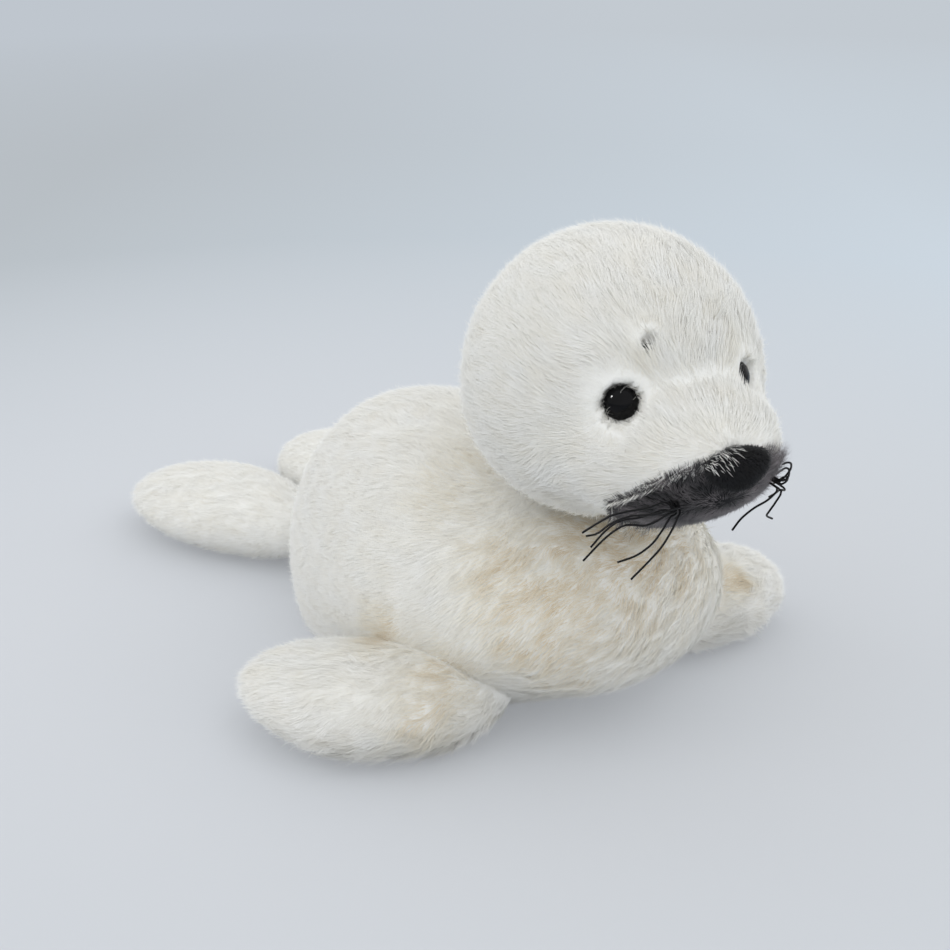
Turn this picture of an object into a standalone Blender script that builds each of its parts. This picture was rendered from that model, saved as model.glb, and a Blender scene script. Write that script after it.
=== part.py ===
"""Plush seal pup, lying on its belly with its head up.

Sewn and stuffed parts: torso, head, muzzle panel, nose pad and four flippers, with two
plastic eyes held by washers, two brow tufts and twelve thread whiskers.
Each stuffed part is one solid whose outside is the tip of its fur.
Units are metres, +Z is up and the seal looks along -Y.
The origin is on the floor, in the middle of the flat of the belly.
"""

import math

import bmesh
import bpy
import numpy as np
from mathutils import Matrix, Vector

MM = 0.001

# Fabric, fur and clearance
GAP = 0.3 * MM
PILE = 10 * MM
BACKING = 2 * MM

# Torso: a stuffed bean, deep at the rump and lower at the chest
TORSO_FRONT_Y = -154 * MM
TORSO_LENGTH = 238 * MM
CHEST_HALF_WIDTH = 84 * MM
RUMP_HALF_WIDTH = 73 * MM
CHEST_HALF_HEIGHT = 54 * MM
RUMP_HALF_HEIGHT = 97 * MM
CHEST_CENTRE_Z = 56 * MM
RUMP_CENTRE_Z = 26 * MM
TORSO_FULLNESS = 0.67

# Head: a round skull with a short broad muzzle, turned a little to the seal's right
SKULL_RADIUS = 61 * MM
SKULL_ABOVE = 63.5 * MM
SKULL_BELOW = 54 * MM
HEAD_BEHIND_CHEST = 37.5 * MM
HEAD_TOP_Z = 215.4 * MM
HEAD_TURN = math.radians(-10)
HEAD_TILT = math.radians(-2)
MUZZLE_HALF_WIDTH = 42 * MM
MUZZLE_HALF_LENGTH = 46 * MM
MUZZLE_HALF_HEIGHT = 29 * MM
MUZZLE_FORWARD = 38 * MM
MUZZLE_DROP = 13 * MM
MELT = 12

# Dark muzzle panel: a crescent under the nose, in degrees about the head's centre
PANEL_HALF_ANGLE = 37
PANEL_TOP_ANGLE = -4
PANEL_TOP_FALL = 18
PANEL_LOW_ANGLE = -40
PANEL_LOW_RISE = 6
PANEL_TOP_CURVE = 2.2
PANEL_DEPTH = 12 * MM
PANEL_PROUD = 0.8 * MM

# Nose pad
NOSE_HALF_WIDTH = 13.5 * MM
NOSE_HALF_HEIGHT = 8.2 * MM
NOSE_HALF_DEPTH = 7 * MM
NOSE_ANGLE = -6
NOSE_SINK = 2 * MM
NOSE_TAPER = 0.28
NOSE_LEAN = 0.5

# Eyes: plastic domes on ribbed stems, and their washers. Azimuths and elevations are in degrees
EYE_AZIMUTH = 29
EYE_ELEVATION = 11
EYE_RADIUS = 7 * MM
EYE_HEIGHT = 6 * MM
EYE_EDGE = 0.3 * MM
STEM_RADIUS = 2.2 * MM
STEM_LENGTH = 15 * MM
STEM_RIB = 0.3 * MM
STEM_RIBS = 3
STEM_TIP_CHAMFER = 0.6 * MM
WASHER_RADIUS = 8 * MM
WASHER_THICKNESS = 1.6 * MM
WASHER_COLLAR_RADIUS = 4.2 * MM
WASHER_COLLAR_HEIGHT = 3 * MM
WASHER_COLLAR_TAPER = 0.8 * MM
EYE_DIMPLE_RADIUS = 11 * MM
WASHER_ROOM = 3 * MM

# Brow tufts: short dark threads at the bottom of small dimples
BROW_AZIMUTH = 16.5
BROW_ELEVATION = 32
BROW_RADIUS = 1.9 * MM
BROW_LENGTH = 5.5 * MM
BROW_FLUTES = 5
BROW_FLUTE_SHARE = 0.2
BROW_DIMPLE_RADIUS = 4.5 * MM

# Front flippers: plan points run from the root to the tip
FRONT_ROOT_INSIDE = 42 * MM
FRONT_ROOT_BEHIND_CHEST = 58 * MM
FRONT_BEND = 31 * MM
RIGHT_REACH = 32 * MM
RIGHT_SWEEP = 78 * MM
LEFT_REACH = 43 * MM
LEFT_SWEEP = 31 * MM
FRONT_HALF_WIDTH = 38 * MM
FRONT_HALF_THICKNESS = 26 * MM
FRONT_FULLNESS = 0.33

# Hind flippers
HIND_ROOT_INSIDE = 12 * MM
HIND_ROOT_APART = 26 * MM
HIND_TIP_APART = 54 * MM
HIND_LENGTH = 138 * MM
HIND_HALF_WIDTH = 41 * MM
HIND_HALF_THICKNESS = 24.5 * MM
HIND_FULLNESS = 0.42

# All flippers
FLIPPER_FLAT = 2.5 * MM
TIP_THINNING = 0.22
FLIPPER_ROOT_SHARE = 0.72

# Whiskers: waxed thread, six from a pit on each side of the muzzle.
# Routes are in mm from the head's centre, with x counted outwards from the middle.
WHISKER_DIAMETER = 0.8 * MM
WHISKER_AZIMUTH = 16
WHISKER_ELEVATION = -14.5
WHISKER_PIT_DEPTH = 8 * MM
WHISKER_RING = 1.5 * MM
WHISKER_LEAD = 0.5 * MM
WHISKER_POINT_SPACING = 3
RIGHT_WHISKERS = [
    [(24.5, -81, -22), (28, -82.5, -25.5), (32, -83, -30), (36, -82, -34.5), (42, -79, -42)],
    [(26, -79, -22), (30.5, -80.5, -25.5), (34.5, -80.5, -29.5), (39.5, -78.5, -33.5), (45.5, -75.5, -36)],
    [(27, -79, -20.5), (32.5, -80, -21.5), (37.5, -80, -22), (42, -79, -21), (45.5, -77.5, -21.5),
     (50, -74, -26.5), (56, -70, -35)],
    [(28, -77, -19.5), (33.5, -78, -19.5), (39, -78, -19.5), (45, -76, -20), (49.5, -73.5, -24),
     (53.5, -71, -30)],
    [(27, -76.5, -17), (33.5, -76.5, -17.5), (41, -75.5, -17.5), (46.5, -73.5, -18.5), (51, -71, -21.5),
     (55.5, -68.5, -25)],
    [(25, -81, -18), (35.5, -82, -17.5), (44, -81, -16.5), (50.5, -79, -18.5), (54.5, -77, -22),
     (58, -75, -23)],
]
LEFT_WHISKERS = [
    [(20.5, -79, -22.5), (16, -79.5, -25), (10.5, -79, -27), (6.5, -77, -31), (5, -74, -36.5)],
    [(22.5, -79, -23.5), (19, -80.5, -26), (16.5, -80, -29.5), (18.5, -76.5, -33), (23.5, -73.5, -36.5)],
    [(23.5, -79, -22), (26, -76.5, -24.5), (28.5, -71, -27), (31, -65.5, -31), (33.5, -59, -35.5)],
    [(25, -78, -20.5), (28.5, -75, -20.5), (31, -69.5, -23), (34, -63, -27.5), (36.5, -56.5, -32)],
    [(25, -79, -18.5), (28.5, -75.5, -17.5), (32, -69.5, -19.5), (35.5, -63, -23.5), (38.5, -56.5, -28)],
    [(22.5, -79.5, -18), (26, -79, -15.5), (30, -74.5, -15.5), (34, -67.5, -18.5), (38, -60.5, -22.5)],
]
WHISKER_RING_ANGLES = (-60, 0, None, 70, 135, 210)

# Mesh fineness
TORSO_GRID = (20, 32)
HEAD_GRID = (22, 36)
PANEL_GRID = (20, 16)
NOSE_GRID = (8, 20)
FLIPPER_GRID = (14, 20)
EYE_STEPS = 6
TURNED_SEGMENTS = 20
BROW_SEGMENTS = 15
PIT_SEGMENTS = 16
CURVE_STEPS = 24
HEAD_GRID_CROWDING = 0.35
SHARP_ANGLE = math.radians(40)
MERGE = 0.01 * MM

WHITE_FUR = ("white_plush", "DBDCD7", 0.95)
DARK_FUR = ("charcoal_plush", "333335", 0.95)
NOSE_VELOUR = ("black_velour", "131418", 0.9)
EYE_PLASTIC = ("black_eye_plastic", "08080A", 0.08)
WASHER_PLASTIC = ("natural_nylon", "E8E6DE", 0.5)
BLACK_THREAD = ("black_waxed_thread", "101012", 0.45)


def material(finish):
    """Principled material from a name, an sRGB hex colour and a roughness, made once."""
    name, colour, roughness = finish
    if name in bpy.data.materials:
        return bpy.data.materials[name]
    made = bpy.data.materials.new(name)
    made.use_nodes = True
    shader = made.node_tree.nodes["Principled BSDF"]
    channels = [int(colour[i:i + 2], 16) / 255 for i in (0, 2, 4)]
    linear = [c / 12.92 if c <= 0.04045 else ((c + 0.055) / 1.055) ** 2.4 for c in channels]
    shader.inputs["Base Color"].default_value = (*linear, 1)
    shader.inputs["Roughness"].default_value = roughness
    shader.inputs["Metallic"].default_value = 0
    return made


def surface(name, rings, start, end, finish):
    """Closed mesh from rings of points, with one pole point before them and one after.

    Each square is split the same way, so a shape and its grown copy keep parallel faces.
    """
    count, around = rings.shape[:2]
    points = np.concatenate([rings.reshape(-1, 3), [start], [end]])
    index = np.arange(count * around).reshape(count, around)
    turned = np.roll(index, -1, axis=1)
    lower = np.stack([index[:-1], turned[:-1], turned[1:]], axis=-1).reshape(-1, 3)
    upper = np.stack([index[:-1], turned[1:], index[1:]], axis=-1).reshape(-1, 3)
    first = [(count * around, b, a) for a, b in zip(index[0], turned[0])]
    last = [(count * around + 1, a, b) for a, b in zip(index[-1], turned[-1])]
    mesh = bpy.data.meshes.new(name)
    mesh.from_pydata(points.tolist(), [], lower.tolist() + upper.tolist() + first + last)
    work = bmesh.new()
    work.from_mesh(mesh)
    bmesh.ops.recalc_face_normals(work, faces=work.faces)
    work.to_mesh(mesh)
    work.free()
    mesh.shade_smooth()
    mesh.materials.append(material(finish))
    made = bpy.data.objects.new(name, mesh)
    bpy.context.collection.objects.link(made)
    return made


def cutter(made):
    """Marks an object as a cutting tool only."""
    made.hide_render = True
    made.display_type = "WIRE"
    return made


def cut(target, tool):
    """Takes the tool's shape out of the target."""
    modifier = target.modifiers.new("cut_" + tool.name, "BOOLEAN")
    modifier.operation = "DIFFERENCE"
    modifier.solver = "EXACT"
    modifier.object = tool


def smooth_step(x, low, high):
    """Rises from 0 at low to 1 at high with level ends."""
    s = np.clip((x - low) / (high - low), 0, 1)
    return s * s * (3 - 2 * s)


def smooth_curve(points, spacing):
    """Points a set distance apart on the Catmull-Rom curve through the given points."""
    given = np.array(points, float)
    ends = np.concatenate([[2 * given[0] - given[1]], given, [2 * given[-1] - given[-2]]])
    u = np.linspace(0, 1, CURVE_STEPS, endpoint=False)[:, None]
    fine = []
    for a, b, c, d in zip(ends, ends[1:], ends[2:], ends[3:]):
        fine.append(b + 0.5 * u * (c - a + u * (2 * a - 5 * b + 4 * c - d + u * (3 * (b - c) + d - a))))
    fine = np.concatenate(fine + [given[-1:]])
    along = np.concatenate([[0], np.cumsum(np.linalg.norm(np.diff(fine, axis=0), axis=1))])
    count = max(2, math.ceil(along[-1] / spacing) + 1)
    at = np.linspace(0, along[-1], count)
    return np.stack([np.interp(at, along, fine[:, k]) for k in range(3)], axis=-1)


def torso_section(t, grow=0.0):
    """Middle height, half width and half height of the torso at t, 0 at the chest to 1 at the rump."""
    rear = smooth_step(t, 0.2, 0.8)
    round_end = np.sin(np.pi * t) ** TORSO_FULLNESS
    middle = CHEST_CENTRE_Z + (RUMP_CENTRE_Z - CHEST_CENTRE_Z) * rear
    half_width = (CHEST_HALF_WIDTH + (RUMP_HALF_WIDTH - CHEST_HALF_WIDTH) * rear) * round_end + grow
    half_height = (CHEST_HALF_HEIGHT + (RUMP_HALF_HEIGHT - CHEST_HALF_HEIGHT) * rear) * round_end + grow
    return middle, half_width, half_height


def torso_t(y):
    """Where along the torso a place in Y lies."""
    return math.acos(1 - 2 * (y - TORSO_FRONT_Y) / TORSO_LENGTH) / math.pi


def torso_surface(name, grow=0.0, floor=0.0):
    """Ellipse sections along Y, flattened where the belly meets the floor."""
    count, around = TORSO_GRID
    t = np.linspace(0, 1, count + 2)[1:-1, None]
    angle = np.linspace(0, 2 * np.pi, around, endpoint=False)[None, :]
    middle, half_width, half_height = torso_section(t, grow)
    y = TORSO_FRONT_Y + TORSO_LENGTH * (1 - np.cos(np.pi * t)) / 2
    y = y - grow * np.cos(np.pi * t)
    x = half_width * np.cos(angle)
    z = np.maximum(middle + half_height * np.sin(angle), floor)
    rings = np.stack([x, y + 0 * x, z], axis=-1)
    start = (0, TORSO_FRONT_Y - grow, CHEST_CENTRE_Z)
    end = (0, TORSO_FRONT_Y + TORSO_LENGTH + grow, RUMP_CENTRE_Z)
    return surface(name, rings, start, end, WHITE_FUR)


HEAD_CENTRE = Vector((0, TORSO_FRONT_Y + HEAD_BEHIND_CHEST, HEAD_TOP_Z - SKULL_ABOVE))
SKULL_RADII = np.array([SKULL_RADIUS, SKULL_RADIUS, SKULL_ABOVE])
JAW_RADII = np.array([SKULL_RADIUS, SKULL_RADIUS, SKULL_BELOW])
MUZZLE_CENTRE = np.array([0, -MUZZLE_FORWARD, -MUZZLE_DROP])
MUZZLE_RADII = np.array([MUZZLE_HALF_WIDTH, MUZZLE_HALF_LENGTH, MUZZLE_HALF_HEIGHT])


def ellipsoid_distance(direction, centre, radii):
    """Distance along each direction, from the head's centre, to the far side of an ellipsoid."""
    a = np.sum((direction / radii) ** 2, axis=-1)
    b = np.sum(direction * centre / radii ** 2, axis=-1)
    c = np.sum((centre / radii) ** 2) - 1
    root = b * b - a * c
    return np.where(root > 0, (b + np.sqrt(np.maximum(root, 0))) / a, 0)


def head_distance(direction):
    """The skull and the muzzle melted together: a high power mean of the two distances.

    The skull is half of one ellipsoid above its middle and half of a flatter one below.
    """
    above = ellipsoid_distance(direction, np.zeros(3), SKULL_RADII)
    below = ellipsoid_distance(direction, np.zeros(3), JAW_RADII)
    skull = np.where(direction[..., 2] > 0, above, below)
    muzzle = ellipsoid_distance(direction, MUZZLE_CENTRE, MUZZLE_RADII)
    return (skull ** MELT + muzzle ** MELT) ** (1 / MELT)


def head_direction(azimuth, elevation):
    """Unit direction from the head's centre; azimuth is from straight ahead, in radians."""
    level = np.cos(elevation)
    return np.stack([np.sin(azimuth) * level, -np.cos(azimuth) * level,
                     np.sin(elevation) + 0 * azimuth], axis=-1)


def head_point(azimuth, elevation, sink=0.0):
    """Place on the head, in degrees, and the outward direction there."""
    direction = head_direction(np.radians(azimuth), np.radians(elevation))
    return Vector(direction * (head_distance(direction) - sink)), Vector(direction)


def head_surface(name, grow=0.0):
    """The head on a globe's grid, with its meridians closer together over the muzzle."""
    count, around = HEAD_GRID
    elevation = np.linspace(-np.pi / 2, np.pi / 2, count + 2)[1:-1, None]
    turn = np.linspace(0, 2 * np.pi, around, endpoint=False)[None, :]
    azimuth = turn - HEAD_GRID_CROWDING * np.sin(turn) + 0 * elevation
    direction = head_direction(azimuth, elevation + 0 * azimuth)
    rings = direction * (head_distance(direction) + grow)[..., None]
    start = (0, 0, -SKULL_BELOW - grow)
    return surface(name, rings, start, (0, 0, SKULL_ABOVE + grow), WHITE_FUR)


def panel_surface(name, grow=0.0, proud=PANEL_PROUD):
    """The muzzle's crescent: a pillow between an upper and a lower edge, following the head."""
    count, around = PANEL_GRID
    reach = math.radians(PANEL_HALF_ANGLE)
    side = np.sin(np.linspace(-np.pi / 2, np.pi / 2, count + 2)[1:-1, None])
    turn = np.linspace(0, 2 * np.pi, around, endpoint=False)[None, :]
    azimuth = side * reach * (1 + grow / SKULL_RADIUS / reach)
    top = np.radians(PANEL_TOP_ANGLE - PANEL_TOP_FALL * np.abs(side) ** PANEL_TOP_CURVE)
    low = np.radians(PANEL_LOW_ANGLE + PANEL_LOW_RISE * side ** 2)
    closing = np.sqrt(1 - side ** 4)
    half = (top - low) / 2 * closing + grow / SKULL_RADIUS
    elevation = (top + low) / 2 + half * np.cos(turn)
    azimuth = azimuth + 0 * elevation
    direction = head_direction(azimuth, elevation)
    lift = np.sin(turn)
    inner = (PANEL_DEPTH * closing + grow) * np.maximum(-lift, 0) ** 0.7
    outer = proud * closing ** 0.3 * np.maximum(lift, 0)
    rings = direction * (head_distance(direction) - inner + outer)[..., None]
    ends = []
    for way in (-1, 1):
        edge = math.radians(PANEL_TOP_ANGLE - PANEL_TOP_FALL + PANEL_LOW_ANGLE + PANEL_LOW_RISE) / 2
        facing = head_direction(np.array(way * (reach + 4 * grow / SKULL_RADIUS)), np.array(edge))
        ends.append(facing * (head_distance(facing) + 3 * grow))
    return surface(name, rings, ends[0], ends[1], DARK_FUR)


def nose_surface(name, grow=0.0):
    """A rounded pad, wider above than below: an ellipsoid whose width follows its height."""
    count, around = NOSE_GRID
    back = np.linspace(0, np.pi, count + 2)[1:-1, None]
    turn = np.linspace(0, 2 * np.pi, around, endpoint=False)[None, :]
    high = np.sin(turn) * np.sin(back)
    x = (NOSE_HALF_WIDTH + grow) * np.cos(turn) * np.sin(back) * (1 + NOSE_TAPER * high)
    z = (NOSE_HALF_HEIGHT + grow) * high
    y = -(NOSE_HALF_DEPTH + grow) * np.cos(back) + 0 * x
    depth = NOSE_HALF_DEPTH + grow
    return surface(name, np.stack([x, y, z], axis=-1), (0, -depth, 0), (0, depth, 0), NOSE_VELOUR)


def turned(name, profile, finish, segments=TURNED_SEGMENTS):
    """Shape turned about Z from (radius, height) points; its first and last lie on the axis."""
    angle = np.linspace(0, 2 * np.pi, segments, endpoint=False)[None, :]
    middle = np.array(profile[1:-1])
    radius = middle[:, :1]
    height = middle[:, 1:] + 0 * angle
    rings = np.stack([radius * np.cos(angle), radius * np.sin(angle), height], axis=-1)
    return surface(name, rings, (0, 0, profile[0][1]), (0, 0, profile[-1][1]), finish)


def turned_ring(name, profile, finish, segments=TURNED_SEGMENTS):
    """Ring turned about Z from a closed outline of (radius, height) points."""
    made = bpy.data.meshes.new(name)
    work = bmesh.new()
    outline = [work.verts.new((radius, 0, height)) for radius, height in profile]
    edges = [work.edges.new((a, b)) for a, b in zip(outline, outline[1:] + outline[:1])]
    bmesh.ops.spin(work, geom=outline + edges, axis=(0, 0, 1), cent=(0, 0, 0),
                   steps=segments, angle=2 * math.pi, use_merge=True)
    bmesh.ops.remove_doubles(work, verts=work.verts, dist=MERGE)
    bmesh.ops.recalc_face_normals(work, faces=work.faces)
    work.to_mesh(made)
    work.free()
    made.materials.append(material(finish))
    made.shade_smooth()
    made.set_sharp_from_angle(angle=SHARP_ANGLE)
    ring = bpy.data.objects.new(name, made)
    bpy.context.collection.objects.link(ring)
    return ring


def set_on_head(made, place, outward, head_pose):
    """Puts an object on the head with its own Z pointing out of the fur."""
    made.parent = head_pose
    turn = outward.to_track_quat("Z", "Y").to_matrix().to_4x4()
    made.matrix_local = Matrix.Translation(place) @ turn
    return made


def eye_profile():
    """Domed front, flat back and a stem with lock ribs; the height is 0 at the flat back."""
    ball = (EYE_RADIUS ** 2 + EYE_HEIGHT ** 2) / (2 * EYE_HEIGHT)
    rim = math.asin(EYE_RADIUS / ball)
    points = [(0, EYE_HEIGHT)]
    for step in range(1, EYE_STEPS + 1):
        angle = rim * step / EYE_STEPS
        points.append((ball * math.sin(angle), EYE_HEIGHT - ball * (1 - math.cos(angle))))
    points[-1] = (EYE_RADIUS, EYE_EDGE)
    points.append((EYE_RADIUS - EYE_EDGE, 0))
    points.append((STEM_RADIUS, 0))
    rib_pitch = STEM_LENGTH / (STEM_RIBS + 2)
    for rib in range(STEM_RIBS):
        top = -(rib + 1.4) * rib_pitch
        points.append((STEM_RADIUS, top))
        points.append((STEM_RADIUS + STEM_RIB, top - 0.2 * rib_pitch))
        points.append((STEM_RADIUS, top - 0.7 * rib_pitch))
    points.append((STEM_RADIUS - STEM_TIP_CHAMFER, -STEM_LENGTH))
    points.append((0, -STEM_LENGTH))
    return points


def eye_socket_profile():
    """Dimple in the fur, stem hole through the backing and room for the washer behind it."""
    hole = STEM_RADIUS + STEM_RIB + GAP
    pocket = WASHER_RADIUS + GAP
    floor = -PILE
    behind = floor - BACKING
    bottom = -(PILE + STEM_LENGTH + WASHER_ROOM)
    seat = EYE_RADIUS + GAP
    points = [(0, PILE), (EYE_DIMPLE_RADIUS * 1.6, PILE)]
    points.append((EYE_DIMPLE_RADIUS, 0))
    points.append(((EYE_DIMPLE_RADIUS + 2 * seat) / 3, -0.5 * PILE))
    points.append((seat, -0.85 * PILE))
    points.append((seat, floor))
    points.append((hole, floor))
    points.append((hole, behind))
    points.append((pocket, behind))
    points.append((pocket, behind - WASHER_COLLAR_HEIGHT - WASHER_ROOM))
    points.append((2 * hole, bottom))
    points.append((0, bottom))
    return points


def make_eye(side, name, head, head_pose):
    """One eye, its washer and the socket they share."""
    place, outward = head_point(side * EYE_AZIMUTH, EYE_ELEVATION)
    socket = cutter(turned("eye_socket_" + name, eye_socket_profile(), WHITE_FUR))
    set_on_head(socket, place, outward, head_pose)
    cut(head, socket)
    eye = turned("eye_" + name, eye_profile(), EYE_PLASTIC)
    eye.data.set_sharp_from_angle(angle=SHARP_ANGLE)
    set_on_head(eye, place - outward * (PILE - GAP), outward, head_pose)
    bore = STEM_RADIUS + STEM_RIB + GAP
    top = -(PILE + BACKING + GAP)
    below = top - WASHER_THICKNESS
    outline = [(bore, top), (WASHER_RADIUS, top), (WASHER_RADIUS, below), (WASHER_COLLAR_RADIUS, below),
               (WASHER_COLLAR_RADIUS - WASHER_COLLAR_TAPER, top - WASHER_COLLAR_HEIGHT),
               (bore, top - WASHER_COLLAR_HEIGHT)]
    washer = turned_ring("eye_washer_" + name, outline, WASHER_PLASTIC)
    set_on_head(washer, place, outward, head_pose)


def make_brow(side, name, head, head_pose):
    """A tuft of dark threads: a fluted brush shape standing in a small dimple."""
    place, outward = head_point(side * BROW_AZIMUTH, BROW_ELEVATION)
    seat = BROW_RADIUS * (1 + BROW_FLUTE_SHARE) + GAP
    hollow = [(0, PILE), (BROW_DIMPLE_RADIUS * 1.5, PILE), (BROW_DIMPLE_RADIUS, 0),
              (seat + 0.5 * MM, -0.6 * PILE), (seat, -PILE), (0, -PILE)]
    dimple = cutter(turned("brow_dimple_" + name, hollow, WHITE_FUR, BROW_SEGMENTS))
    set_on_head(dimple, place, outward, head_pose)
    cut(head, dimple)
    turn = np.linspace(0, 2 * np.pi, BROW_SEGMENTS, endpoint=False)[None, :]
    up = np.array([0, 0.25, 0.6, 0.9])[:, None]
    thick = np.array([0.85, 0.95, 1, 0.8])[:, None]
    radius = BROW_RADIUS * thick * (1 + BROW_FLUTE_SHARE * up * np.cos(BROW_FLUTES * turn))
    height = BROW_LENGTH * up + 0 * turn
    rings = np.stack([radius * np.cos(turn), radius * np.sin(turn), height], axis=-1)
    tuft = surface("brow_tuft_" + name, rings, (0, 0, 0), (0, 0, BROW_LENGTH), BLACK_THREAD)
    set_on_head(tuft, place - outward * (PILE - GAP), outward, head_pose)


def flipper_surface(name, root, bend, tip, half_width, half_thickness, fullness):
    """Paddle along a curved line in plan: round sections, wide past the middle, flat below.

    The lower its fullness, the blunter its ends.
    """
    count, around = FLIPPER_GRID
    u = (1 - np.cos(np.linspace(0, np.pi, count + 2)[1:-1, None])) / 2
    root, bend, tip = (np.array(point) for point in (root, bend, tip))
    middle = (1 - u) ** 2 * root + 2 * u * (1 - u) * bend + u ** 2 * tip
    ahead = (1 - u) * (bend - root) + u * (tip - bend)
    ahead = ahead / np.linalg.norm(ahead, axis=-1, keepdims=True)
    across = np.stack([-ahead[:, 1], ahead[:, 0]], axis=-1)
    closing = (4 * u * (1 - u)) ** fullness
    spread = half_width * closing * (FLIPPER_ROOT_SHARE + (1 - FLIPPER_ROOT_SHARE) * smooth_step(u, 0, 0.7))
    thick = half_thickness * closing * (1 - TIP_THINNING * u)
    angle = np.linspace(0, 2 * np.pi, around, endpoint=False)[None, :]
    plan = middle[:, None, :] + across[:, None, :] * (spread * np.cos(angle))[..., None]
    rest = half_thickness - FLIPPER_FLAT
    z = np.maximum(rest * (1 - TIP_THINNING * u) + thick * np.sin(angle), 0)
    rings = np.concatenate([plan, z[..., None]], axis=-1)
    return surface(name, rings, (*root, rest), (*tip, rest * (1 - TIP_THINNING)), WHITE_FUR)


def make_front_flipper(side, name, reach, sweep, torso_space):
    """Front flipper: leaves the chest sideways and sweeps back."""
    root_y = TORSO_FRONT_Y + FRONT_ROOT_BEHIND_CHEST
    flank = torso_section(torso_t(root_y))[1]
    root = (side * (flank - FRONT_ROOT_INSIDE), root_y)
    bend = (side * (flank + FRONT_BEND), root_y)
    tip = (side * (flank + reach), root_y + sweep)
    made = flipper_surface("front_flipper_" + name, root, bend, tip, FRONT_HALF_WIDTH,
                           FRONT_HALF_THICKNESS, FRONT_FULLNESS)
    cut(made, torso_space)


def make_hind_flipper(side, name, torso_space):
    """Hind flipper: leaves the rump backwards and a little outwards."""
    root_y = TORSO_FRONT_Y + TORSO_LENGTH - HIND_ROOT_INSIDE
    root = (side * HIND_ROOT_APART, root_y)
    tip = (side * HIND_TIP_APART, root_y + HIND_LENGTH)
    bend = (side * (HIND_ROOT_APART + HIND_TIP_APART) / 2, root_y + HIND_LENGTH / 2)
    made = flipper_surface("hind_flipper_" + name, root, bend, tip, HIND_HALF_WIDTH,
                           HIND_HALF_THICKNESS, HIND_FULLNESS)
    cut(made, torso_space)


def make_whiskers(side, name, routes, muzzle, head_pose):
    """Six threads that leave one pit together and then spread and droop.

    One starts in the middle of the pit and five around it, at angles from straight down.
    """
    place, outward = head_point(side * WHISKER_AZIMUTH, WHISKER_ELEVATION, -PANEL_PROUD)
    pit_radius = WHISKER_RING + WHISKER_DIAMETER / 2 + GAP
    hollow = [(0, PILE), (pit_radius, PILE), (pit_radius, -WHISKER_PIT_DEPTH), (0, -WHISKER_PIT_DEPTH)]
    pit = cutter(turned("whisker_pit_" + name, hollow, DARK_FUR, PIT_SEGMENTS))
    set_on_head(pit, place, outward, head_pose)
    cut(muzzle, pit)
    outboard = side * Vector((0, 0, 1)).cross(outward).normalized()
    upward = side * outward.cross(outboard)
    for number, route in enumerate(routes):
        start = place
        if WHISKER_RING_ANGLES[number] is not None:
            angle = math.radians(WHISKER_RING_ANGLES[number])
            start = place + WHISKER_RING * (math.sin(angle) * outboard - math.cos(angle) * upward)
        root = start - outward * (WHISKER_PIT_DEPTH - GAP)
        mouth = start + outward * WHISKER_LEAD
        spread = [(side * x * MM, y * MM, z * MM) for x, y, z in route]
        points = smooth_curve([root[:], mouth[:]] + spread, WHISKER_POINT_SPACING * WHISKER_DIAMETER)
        shape = bpy.data.curves.new("whisker_%s_%d" % (name, number + 1), "CURVE")
        shape.dimensions = "3D"
        shape.bevel_depth = WHISKER_DIAMETER / 2
        shape.bevel_resolution = 2
        shape.use_fill_caps = True
        line = shape.splines.new("POLY")
        line.points.add(len(points) - 1)
        for point, (x, y, z) in zip(line.points, points):
            point.co = (x, y, z, 1)
        shape.materials.append(material(BLACK_THREAD))
        whisker = bpy.data.objects.new(shape.name, shape)
        bpy.context.collection.objects.link(whisker)
        whisker.parent = head_pose


def build_head(torso):
    """Head, muzzle panel and nose, each cut to the next, and everything set in them."""
    head_pose = bpy.data.objects.new("head_pose", None)
    bpy.context.collection.objects.link(head_pose)
    head_pose.location = HEAD_CENTRE
    head_pose.rotation_euler = (0, HEAD_TILT, HEAD_TURN)
    head = head_surface("head")
    head_space = cutter(head_surface("head_space", GAP))
    muzzle = panel_surface("muzzle")
    muzzle_space = cutter(panel_surface("muzzle_space", GAP, PILE))
    nose = nose_surface("nose")
    nose_space = cutter(nose_surface("nose_space", GAP))
    for made in (head, head_space, muzzle, muzzle_space):
        made.parent = head_pose
    place, outward = head_point(0, NOSE_ANGLE, NOSE_SINK)
    for made in (nose, nose_space):
        made.parent = head_pose
        made.location = place
        made.rotation_euler = (-math.asin(outward.z) * NOSE_LEAN, 0, 0)
    cut(torso, head_space)
    cut(head, muzzle_space)
    cut(head, nose_space)
    cut(muzzle, nose_space)
    for side, name in ((-1, "right"), (1, "left")):
        make_eye(side, name, head, head_pose)
        make_brow(side, name, head, head_pose)
    make_whiskers(-1, "right", RIGHT_WHISKERS, muzzle, head_pose)
    make_whiskers(1, "left", LEFT_WHISKERS, muzzle, head_pose)


def main():
    for old in list(bpy.data.objects):
        bpy.data.objects.remove(old)
    torso = torso_surface("torso")
    torso_space = cutter(torso_surface("torso_space", GAP, -PILE))
    build_head(torso)
    make_front_flipper(-1, "right", RIGHT_REACH, RIGHT_SWEEP, torso_space)
    make_front_flipper(1, "left", LEFT_REACH, LEFT_SWEEP, torso_space)
    make_hind_flipper(-1, "right", torso_space)
    make_hind_flipper(1, "left", torso_space)


main()
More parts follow.
